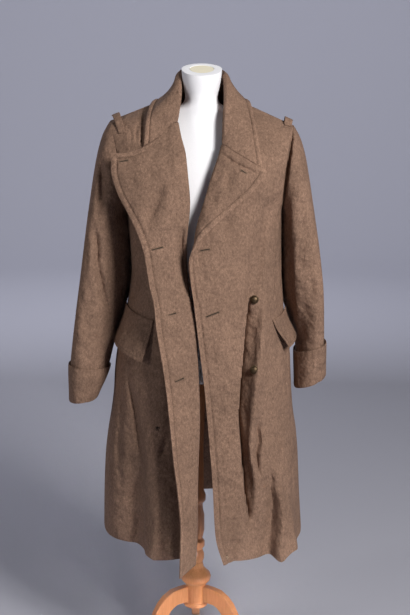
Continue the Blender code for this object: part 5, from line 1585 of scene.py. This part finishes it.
def reckoned(tree, operation, *terms):
    return add_node(tree, "ShaderNodeMath", dict(enumerate(terms)), operation=operation).outputs[0]


def two_tone(tree, share, dark, light):
    """A colour between two others."""
    inputs = {"Factor": share, MIX_FROM: dark, MIX_TO: light}
    return add_node(tree, "ShaderNodeMix", inputs, data_type="RGBA").outputs[MIX_RESULT]


def scaled(tree, tone, share):
    """A colour made lighter or darker."""
    inputs = {0: tone, "Scale": share}
    return add_node(tree, "ShaderNodeVectorMath", inputs, operation="SCALE").outputs["Vector"]


def bumped(tree, height, strength, distance, **under):
    """A normal bent by a height, on top of another where one is given."""
    inputs = {"Height": height, "Strength": strength, "Distance": distance, **under}
    return add_node(tree, "ShaderNodeBump", inputs).outputs["Normal"]


@lru_cache
def milled_wool():
    """Milled and napped wool: felted cloth with a brushed face, which hides the weave and scatters light."""
    sizes = bpy.context.scene.greatcoat_wool
    material, tree, shader = new_material("milled_napped_wool", {
        "Roughness": 0.95, "IOR": 1.55, "Specular IOR Level": 0.2, "Sheen Weight": 0.04,
        "Sheen Roughness": 0.6, "Sheen Tint": (*sizes.light, 1.0)})
    place = object_place(tree)
    combed = stretched(tree, place, NAP_STRETCH)
    fade = noise(tree, place, 1 / sizes.fade, 3.0)
    mottle = noise(tree, combed, 1 / sizes.mottle, 4.0)
    fibre = noise(tree, combed, 1 / sizes.fibre, 2.0)
    rumple = noise(tree, place, 1 / sizes.rumple, 2.0)
    uneven = rescaled(tree, mottle, 0.25, 0.75, 0.20, 0.80)
    faded = rescaled(tree, fade, 0.35, 0.70, 0.88, 1.12)
    fuzz = rescaled(tree, fibre, 0.30, 0.70, 0.74, 1.26)
    cloth = two_tone(tree, uneven, (*sizes.dark, 1.0), (*sizes.light, 1.0))
    shade = reckoned(tree, "MULTIPLY", faded, fuzz)
    # Sewn edges painted lighter: rubbed wear, and painted highlight where the raised roll catches light
    wear = add_node(tree, "ShaderNodeAttribute", attribute_name="wear").outputs["Fac"]
    wear_and_highlight = reckoned(tree, "MULTIPLY_ADD", wear, WEAR_AND_HIGHLIGHT_LIGHTER, 1.0)
    base = scaled(tree, cloth, reckoned(tree, "MULTIPLY", shade, wear_and_highlight))
    nap = reckoned(tree, "ADD", mottle, fibre)
    lay = bumped(tree, rumple, 1.0, RUMPLE_HEIGHT)
    bump = bumped(tree, nap, 0.6, NAP_HEIGHT, Normal=lay)
    tree.links.new(base, shader.inputs["Base Color"])
    tree.links.new(bump, shader.inputs["Normal"])
    return material


def mottled(tree, tone, size, depth):
    """A fine noise, and a colour which that noise makes a little lighter and darker."""
    grain = noise(tree, object_place(tree), 1 / size, 2.0)
    share = rescaled(tree, grain, 0.30, 0.70, 1 - depth, 1 + depth)
    return grain, scaled(tree, colour(tone)[:3], share)


@lru_cache
def spun_thread(name, tone):
    """Spun wool thread: dull, darker or lighter than the cloth it lies on, uneven where its plies turn."""
    material, tree, shader = new_material(name, {"Roughness": 0.9, "IOR": 1.55})
    _, shaded = mottled(tree, tone, THREAD_PLY, 0.25)
    tree.links.new(shaded, shader.inputs["Base Color"])
    return material


@lru_cache
def knitted_cover(name, tone):
    """Bleached cotton knitted or woven plain: matt, nearly white, with a fine even grain."""
    material, tree, shader = new_material(name, {"Roughness": 0.9, "IOR": 1.53})
    grain, shaded = mottled(tree, tone, COVER_GRAIN, 0.03)
    bump = bumped(tree, grain, 0.3, COVER_HEIGHT)
    tree.links.new(shaded, shader.inputs["Base Color"])
    tree.links.new(bump, shader.inputs["Normal"])
    return material


@lru_cache
def varnished_beech():
    """Beech turned and varnished: pinkish tan, with short dark flecks along the grain under a clear coat."""
    sizes = bpy.context.scene.greatcoat_stand
    material, tree, shader = new_material("varnished_turned_beech", {
        "Roughness": 0.5, "IOR": 1.5, "Coat Weight": 0.5, "Coat Roughness": 0.2, "Coat IOR": 1.5})
    grain = noise(tree, stretched(tree, object_place(tree), GRAIN_STRETCH), 1 / sizes.grain, 4.0)
    tone = two_tone(tree, grain, (*sizes.dark, 1.0), (*sizes.light, 1.0))
    tree.links.new(tone, shader.inputs["Base Color"])
    return material


@lru_cache
def darkened_brass():
    """Stamped brass gone dark with age: brown metal, brighter where the dome is rubbed."""
    material, tree, shader = new_material("darkened_stamped_brass", {"Metallic": 1.0, "Roughness": 0.5})
    patches = noise(tree, object_place(tree), PATCHES_PER_METRE, 3.0)
    tone = two_tone(tree, patches, colour("3A2F25"), colour("6E5C47"))
    tree.links.new(tone, shader.inputs["Base Color"])
    return material


@lru_cache
def matt_paper():
    """Seamless studio paper: matt, pale grey with a trace of violet."""
    tone = (*bpy.context.scene.greatcoat_stage.paper, 1.0)
    material, _, _ = new_material(
        "matt_studio_paper", {"Base Color": tone, "Roughness": 1.0, "Specular IOR Level": 0.0})
    return material


def add_round(obj, width):
    """Small rounds along the sharp edges of wood."""
    bevel = obj.modifiers.new("rounds", "BEVEL")
    bevel.width = width
    bevel.segments = ROUND_STEPS
    bevel.limit_method = "ANGLE"
    bevel.angle_limit = ROUND_ANGLE


def shape_neck(points):
    """Gives the form's neck its waist, which runs out into the shoulders."""
    points[:, 0] *= np.interp(points[:, 2], NECK_HEIGHTS, NECK_SHARES)
    for row in FORM_NECK:
        ring = np.abs(points[:, 2] - row.z) < NECK_RING_GAP
        across, deep = points[ring, 0], points[ring, 1]
        share = across / np.abs(across).max()
        end = np.where(deep < FORM_MIDDLE_Y, row.front, row.back)
        points[ring, 0] = row.half_width * share
        points[ring, 1] = FORM_MIDDLE_Y + (end - FORM_MIDDLE_Y) * np.sqrt(np.maximum(1 - share ** 2, 0.0))


def add_smooth(obj):
    """Finer and softer surface, with the neck's rim kept nearly sharp."""
    mesh = obj.data
    ends = np.array([edge.vertices[:] for edge in mesh.edges])
    heights = np.array([vert.co.z for vert in mesh.vertices]) - AXIS[2]
    sharp = np.array([edge.use_edge_sharp for edge in mesh.edges]) & (heights[ends].min(axis=1) > RIM_Z)
    mesh.edges.foreach_set("use_edge_sharp", sharp)
    creased = mesh.attributes.new("crease_edge", "FLOAT", "EDGE")
    creased.data.foreach_set("value", np.where(sharp, RIM_CREASE, 0.0))
    finer_mesh = obj.modifiers.new("finer", "SUBSURF")
    finer_mesh.levels = finer_mesh.render_levels = 2
    neck = obj.vertex_groups.new(name="neck")
    for vert in mesh.vertices:
        x, _, z = np.array(vert.co) - AXIS
        shares = [(stop - at) / run for at, (stop, run) in zip((abs(x), -z, z), SOFT_NECK)]
        neck.add([vert.index], float(np.clip(shares, 0.0, 1.0).prod()), "REPLACE")
    soft = obj.modifiers.new("soft", "SMOOTH")
    soft.iterations = SOFT_PASSES
    soft.vertex_group = neck.name


def add_floor(scene):
    """Floor, cove and wall of the studio in one sheet of paper."""
    radius = scene.greatcoat_stage.radius
    cove = np.linspace(0.0, math.pi / 2, COVE_STEPS)[1:]
    profile = [(0.0, FLOOR_MIDDLE), (0.0, radius - COVE)]
    profile += [(COVE * (1 - math.cos(a)), radius - COVE + COVE * math.sin(a)) for a in cove]
    profile += [(WALL_TOP, radius)]
    number = np.arange(len(profile) * FLOOR_SIDES).reshape(-1, FLOOR_SIDES)
    after = np.roll(number, -1, axis=1)
    faces = np.stack((number[:-1], number[1:], after[1:], after[:-1]), axis=-1).reshape(-1, 4)
    mesh = bpy.data.meshes.new("studio_floor")
    points = turned(profile, FLOOR_SIDES).reshape(-1, 3)
    mesh.from_pydata(points.tolist(), [], faces.tolist() + [number[0].tolist()])
    mesh.shade_smooth()
    mesh.materials.append(matt_paper())
    floor = bpy.data.objects.new("studio_floor", mesh)
    scene.collection.objects.link(floor)


# Sewing


def sewn_lines():
    """Sewing lines that show along the edges of fronts, lapels, collar and flaps."""
    pieces = coat()
    lines = []
    for half in HALVES:
        facing, flap = pieces[f"facing_{half.name}"], pieces[f"pocket_flap_{half.name}"]
        for piece, thickness, inset, (to_front, to_end) in (
            (facing, FACING, EDGE_INSET, edge_distances(half, facing.grid)),
            (flap, FLAP, FLAP_INSET, (distance_across(flap.grid), distance_in(flap.grid))),
        ):
            lines.append(inset_line(piece, thickness / 2, to_front, inset, to_end))
            lines.append(inset_line(turned_over(piece), thickness / 2, to_end.T, inset, to_front.T))
    front = pieces["front_left"]
    rows, columns = slice(0, ROW_STEPS[0] * LEFT.break_row), slice(front.split - 1, None)
    low = SimpleNamespace(grid=front.grid[rows, columns], normals=front.normals[rows, columns])
    for piece, thickness in ((low, CLOTH), (pieces["collar"], COLLAR)):
        lines.append(inset_line(piece, thickness / 2, distance_across(piece.grid), EDGE_INSET))
    return [line for line in lines if len(line[0]) > 1]


def buttonhole(hole):
    """Worked edges of a buttonhole, with stitches along both lips and a bar at the end, and its slit, a
    near-black tube of painted shade.
    """
    piece = coat()[hole.piece]
    lift = (FACING if hole.piece.startswith("facing") else CLOTH) / 2
    share = np.linspace(0.0, 1.0, HOLE_STITCHES)
    x = hole.start_x + share * (hole.end_x - hole.start_x)
    z = hole.start_z + share * (hole.end_z - hole.start_z)
    points, normal = plane_points(piece, x, z, lift)
    along_hole = unit(points[-1] - points[0])
    side = np.cross(normal, along_hole)
    rise = normal * (HOLE_THREAD * np.array(LIP_RISE))[:, None]
    made = []
    for sign in (1.0, -1.0):
        for point in points:
            reach = point + side * sign * np.linspace(HOLE_GAP, HOLE_GAP + HOLE_LIP, len(LIP_RISE))[:, None]
            made.append(thread(reach + rise, normal, HOLE_THREAD))
    bar = points[-1] + side * np.linspace(-HOLE_LIP, HOLE_LIP, BAR_POINTS)[:, None] + along_hole * HOLE_GAP
    made.append(thread(bar + normal * HOLE_THREAD * BAR_RISE, normal, HOLE_THREAD * BAR_SIZE))
    # The slit is a near-black tube standing for the shade inside the opening: painted shade
    slit = thread(points + normal * HOLE_THREAD * SLIT_RISE, normal, HOLE_GAP)
    return made, slit


def loose_threads(ends):
    """Broken thread ends, hanging from one spot. Waves make their turns and lengths uneven."""
    piece = coat()[ends.piece]
    run = np.linspace(0.0, 1.0, END_POINTS)
    made = []
    for k in range(ends.count):
        turn = 2 * math.pi * (k + TURN_WAVE * math.sin(TURN_RATE * k)) / ends.count
        wave = math.sin(LENGTH_RATE * k + LENGTH_START) ** 2
        length = ends.length * (LENGTH_LEAST + LENGTH_WAVE * wave)
        x = ends.x + length * run * math.cos(turn)
        z = ends.z + length * (run * math.sin(turn) - END_SAG * run ** 2)
        points, normal = plane_points(piece, x, z, CLOTH / 2)
        rise = normal * (ends.length * END_RISE * np.sin(run * math.pi))[:, None]
        made.append(thread(points + rise, normal, ends.radius))
    return made


def button_mesh(button):
    """Domed button with a rolled rim, on a shank that is sewn into the cloth."""
    low, high = roll_height(LEFT, 0), CHEST_ROLL_Z
    row = LOW_ROWS * (button.z - low) / (high - low)
    places = np.linspace(0.0, 1.0, BUTTON_PLACES)
    t = place_of_x(front_body(LEFT, row, places), places, button.x)
    normal = surface_normal(front_body, LEFT, row, t)
    back = CLOTH / 2 + SEAM + SHANK_LENGTH
    turns = np.linspace(0.0, math.pi / 2, DOME_STEPS)
    rim = np.linspace(-math.pi / 2, math.pi / 2, RIM_STEPS)[1:]
    half_rim = BUTTON_RIM / 2
    profile = [(-SHANK_SUNK, SHANK_RADIUS), (back, SHANK_RADIUS), (back, BUTTON_RADIUS - half_rim)]
    profile += [
        (back + half_rim * (1 + math.sin(a)), BUTTON_RADIUS - half_rim * (1 - math.cos(a))) for a in rim]
    top, edge = back + BUTTON_RIM, BUTTON_RADIUS - BUTTON_RIM
    profile += [(top + BUTTON_DOME * math.sin(a), edge * max(math.cos(a), DOME_TOP)) for a in turns]
    place = Vector(normal).to_track_quat("Z", "Y").to_matrix()
    return rings_mesh(turned(profile, BUTTON_SIDES) @ np.array(place).T + front_body(LEFT, row, [t])[0])


# Sizes and colours that the panel shows


def tone_setting(name, description, code):
    return FloatVectorProperty(
        name=name, description=description, subtype="COLOR", min=0.0, max=1.0, default=colour(code)[:3])


def size_setting(name, description, default, least):
    return FloatProperty(name=name, description=description, default=default, min=least, unit="LENGTH")


class WoolSettings(bpy.types.PropertyGroup):
    """Look of the cloth"""
    dark: tone_setting("Dark fibres", "Darker tone of the cloth", "5E483D")
    light: tone_setting("Light fibres", "Lighter tone of the cloth", "9B7D6A")
    fade: size_setting("Fading", "Size of the faded areas", 0.12, 0.01)
    mottle: size_setting("Mottle", "Size of the felted spots", 0.0045, 0.001)
    fibre: size_setting("Fibre", "Size of the fibre tufts, drawn coarser than real to show", 0.0018, 0.0005)
    rumple: size_setting("Rumple", "Size of the slight swellings of cloth that was worn", 0.035, 0.005)


class StandSettings(bpy.types.PropertyGroup):
    """Look of the wooden stand"""
    dark: tone_setting("Dark grain", "Darker tone of the wood", "B67042")
    light: tone_setting("Light grain", "Lighter tone of the wood", "DB9868")
    grain: size_setting("Grain", "Width of the grain's flecks", 0.004, 0.0005)


class StageSettings(bpy.types.PropertyGroup):
    """Studio round the object"""
    paper: tone_setting("Paper", "Tone of floor and wall", "B4B4BE")
    radius: size_setting("Radius", "Distance from the object to the wall", 9.0, 7.0)


# One operator for each piece or group of like pieces


class GREATCOAT_OT_fronts(bpy.types.Operator):
    """Adds the two fronts of the coat"""
    bl_idname = "greatcoat.fronts"
    bl_label = "Fronts"

    def execute(self, context):
        add_cloth("front_right", CLOTH, (0.50, 1.20), "hung", "form_body")
        add_cloth("front_left", CLOTH, (0.48, 1.20), "hung", "form_body")
        return {"FINISHED"}


class GREATCOAT_OT_facings(bpy.types.Operator):
    """Adds the facings on the turned-back edges"""
    bl_idname = "greatcoat.facings"
    bl_label = "Facings"

    def execute(self, context):
        add_cloth("facing_right", FACING, (0.22, 1.10), "folded", "front_right")
        add_cloth("facing_left", FACING, (0.16, 0.32), "folded", "front_left")
        return {"FINISHED"}


class GREATCOAT_OT_backs(bpy.types.Operator):
    """Adds the two halves of the back"""
    bl_idname = "greatcoat.backs"
    bl_label = "Backs"

    def execute(self, context):
        for half in HALVES:
            add_cloth(f"back_{half.name}", CLOTH, (0.40, 1.16), "hung", "form_body")
        return {"FINISHED"}


class GREATCOAT_OT_sleeves(bpy.types.Operator):
    """Adds the sleeves and their turned-up cuffs"""
    bl_idname = "greatcoat.sleeves"
    bl_label = "Sleeves and cuffs"

    def execute(self, context):
        for half in HALVES:
            add_cloth(f"sleeve_{half.name}", CLOTH, (0.46, 0.72), "hung", f"front_{half.name}")
            add_cloth(f"cuff_{half.name}", CLOTH, (0.36, 0.12), "folded", f"sleeve_{half.name}")
        return {"FINISHED"}


class GREATCOAT_OT_collar(bpy.types.Operator):
    """Adds the collar"""
    bl_idname = "greatcoat.collar"
    bl_label = "Collar"

    def execute(self, context):
        add_cloth("collar", COLLAR, (0.60, 0.19), "folded", "front_right", "front_left")
        return {"FINISHED"}


class GREATCOAT_OT_flaps(bpy.types.Operator):
    """Adds the pocket flaps and the shoulder loops"""
    bl_idname = "greatcoat.flaps"
    bl_label = "Pocket flaps and shoulder loops"

    def execute(self, context):
        for half in HALVES:
            add_cloth(f"pocket_flap_{half.name}", FLAP, (0.21, 0.14), "hung", f"front_{half.name}")
            add_cloth(f"shoulder_loop_{half.name}", LOOP, (0.03, 0.16), "laid", f"front_{half.name}")
        return {"FINISHED"}


class GREATCOAT_OT_stitches(bpy.types.Operator):
    """Adds the stitches along the sewn edges"""
    bl_idname = "greatcoat.stitches"
    bl_label = "Stitches"

    def execute(self, context):
        made = [stitch for line in sewn_lines() for stitch in stitches_along(*line)]
        add_object("edge_stitches", *joined(made), spun_thread("spun_wool_thread", "4A392D"), "wool")
        return {"FINISHED"}


class GREATCOAT_OT_buttonholes(bpy.types.Operator):
    """Adds the worked buttonholes and the loose thread ends"""
    bl_idname = "greatcoat.buttonholes"
    bl_label = "Buttonholes and thread ends"

    def execute(self, context):
        worked, slits = [], []
        for hole in BUTTONHOLES:
            made, slit = buttonhole(hole)
            worked += made
            slits.append(slit)
        add_object("buttonhole_edges", *joined(worked), spun_thread("buttonhole_twist", "7A6351"), "wool")
        # Slits drawn near black: painted shade inside the openings
        add_object("buttonhole_slits", *joined(slits), spun_thread("shaded_wool_edge", "1C1611"), "wool")
        ends = loose_threads(MISSING_BUTTON)
        dark = spun_thread("broken_dark_thread", "2E251D")
        add_object("missing_button_threads", *joined(ends), dark, "wool")
        ends = loose_threads(CAUGHT_THREAD)
        add_object("caught_thread", *joined(ends), spun_thread("pale_thread", "B9A58E"), "wool")
        return {"FINISHED"}


class GREATCOAT_OT_buttons(bpy.types.Operator):
    """Adds the two domed buttons"""
    bl_idname = "greatcoat.buttons"
    bl_label = "Buttons"

    def execute(self, context):
        for button in BUTTONS:
            add_object(f"{button.name}_domed", *button_mesh(button), darkened_brass(), "button", button.name)
        return {"FINISHED"}


class GREATCOAT_OT_form(bpy.types.Operator):
    """Adds the cover of the dress form and the disc on its neck"""
    bl_idname = "greatcoat.form"
    bl_label = "Dress form"

    def execute(self, context):
        points, faces = frame_mesh("form_body")
        shape_neck(points)
        cover = knitted_cover("bleached_cotton_jersey", "F5F5FA")
        add_smooth(add_object("form_cover", points, faces, cover, "form_cover", "form_body"))
        calico = knitted_cover("unbleached_calico", "F2EAD2")
        add_object("neck_cover", *frame_mesh("neck_disc"), calico, "neck_disc", "neck_disc")
        return {"FINISHED"}


class GREATCOAT_OT_stand(bpy.types.Operator):
    """Adds the turned spindle, the hub and the three legs"""
    bl_idname = "greatcoat.stand"
    bl_label = "Stand"

    def execute(self, context):
        for name in ("spindle", "hub"):
            points, faces = rings_mesh(turned(frame_profile(name), TURN_SIDES))
            obj = add_object(f"{name}_turned", points, faces, varnished_beech(), "beech", name)
            add_round(obj, TURNED_ROUND)
        for name in ("leg_right", "leg_left", "leg_back"):
            points, faces = frame_mesh(name)
            obj = add_object(f"{name}_sawn", points, faces, varnished_beech(), "beech", name)
            add_round(obj, LEG_ROUND)
        return {"FINISHED"}


class GREATCOAT_OT_stage(bpy.types.Operator):
    """Adds the floor, the lights and the camera"""
    bl_idname = "greatcoat.stage"
    bl_label = "Studio"

    def execute(self, context):
        scene = context.scene
        add_floor(scene)
        world = bpy.data.worlds.new("studio_air")
        world.use_nodes = True
        air = world.node_tree.nodes["Background"]
        air.inputs["Color"].default_value = colour("E6E6EC")
        air.inputs["Strength"].default_value = AIR_STRENGTH
        scene.world = world
        for lamp in LAMPS:
            light = bpy.data.lights.new(lamp.name, "AREA")
            light.shape = "RECTANGLE"
            light.size, light.size_y = lamp.size
            light.energy = lamp.power
            light.spread = math.radians(lamp.spread)
            light.color = colour(lamp.tone)[:3]
            obj = bpy.data.objects.new(lamp.name, light)
            aim = (Vector(lamp.aim) - Vector(lamp.place)).to_track_quat("-Z", "Y")
            obj.matrix_world = Matrix.Translation(lamp.place) @ aim.to_matrix().to_4x4()
            obj.visible_camera = False
            scene.collection.objects.link(obj)
        camera = bpy.data.objects.new("camera", bpy.data.cameras.new("camera"))
        camera.data.lens = LENS
        camera.matrix_world = (
            Matrix.Translation(Vector(EYE) + Vector(AXIS)) @ Matrix.Rotation(math.pi / 2 - CAMERA_DIP, 4, "X")
            @ Matrix.Rotation(CAMERA_ROLL, 4, "Z"))
        scene.collection.objects.link(camera)
        scene.camera = camera
        scene.view_settings.view_transform = "Standard"
        return {"FINISHED"}


OPERATORS = (
    GREATCOAT_OT_fronts, GREATCOAT_OT_facings, GREATCOAT_OT_backs, GREATCOAT_OT_sleeves,
    GREATCOAT_OT_collar, GREATCOAT_OT_flaps, GREATCOAT_OT_stitches, GREATCOAT_OT_buttonholes,
    GREATCOAT_OT_buttons, GREATCOAT_OT_form, GREATCOAT_OT_stand, GREATCOAT_OT_stage,
)
GROUPS = (
    ("greatcoat_wool", WoolSettings), ("greatcoat_stand", StandSettings), ("greatcoat_stage", StageSettings),
)


class GREATCOAT_PT_panel(bpy.types.Panel):
    """Sidebar panel with the settings and one button for each piece"""
    bl_idname = "GREATCOAT_PT_panel"
    bl_label = "Greatcoat"
    bl_space_type = "VIEW_3D"
    bl_region_type = "UI"
    bl_category = "Greatcoat"

    def draw(self, context):
        for name, group in GROUPS:
            settings = getattr(context.scene, name)
            for key in group.__annotations__:
                self.layout.prop(settings, key)
        for operator in OPERATORS:
            self.layout.operator(operator.bl_idname)


def register():
    for name, group in GROUPS:
        bpy.utils.register_class(group)
        setattr(bpy.types.Scene, name, PointerProperty(type=group))
    for cls in (*OPERATORS, GREATCOAT_PT_panel):
        bpy.utils.register_class(cls)


def unregister():
    for cls in (GREATCOAT_PT_panel, *reversed(OPERATORS)):
        bpy.utils.unregister_class(cls)
    for name, group in reversed(GROUPS):
        delattr(bpy.types.Scene, name)
        bpy.utils.unregister_class(group)


def main():
    register()
    for operator in OPERATORS:
        group, name = operator.bl_idname.split(".")
        getattr(getattr(bpy.ops, group), name)()


if __name__ == "__main__":
    main()
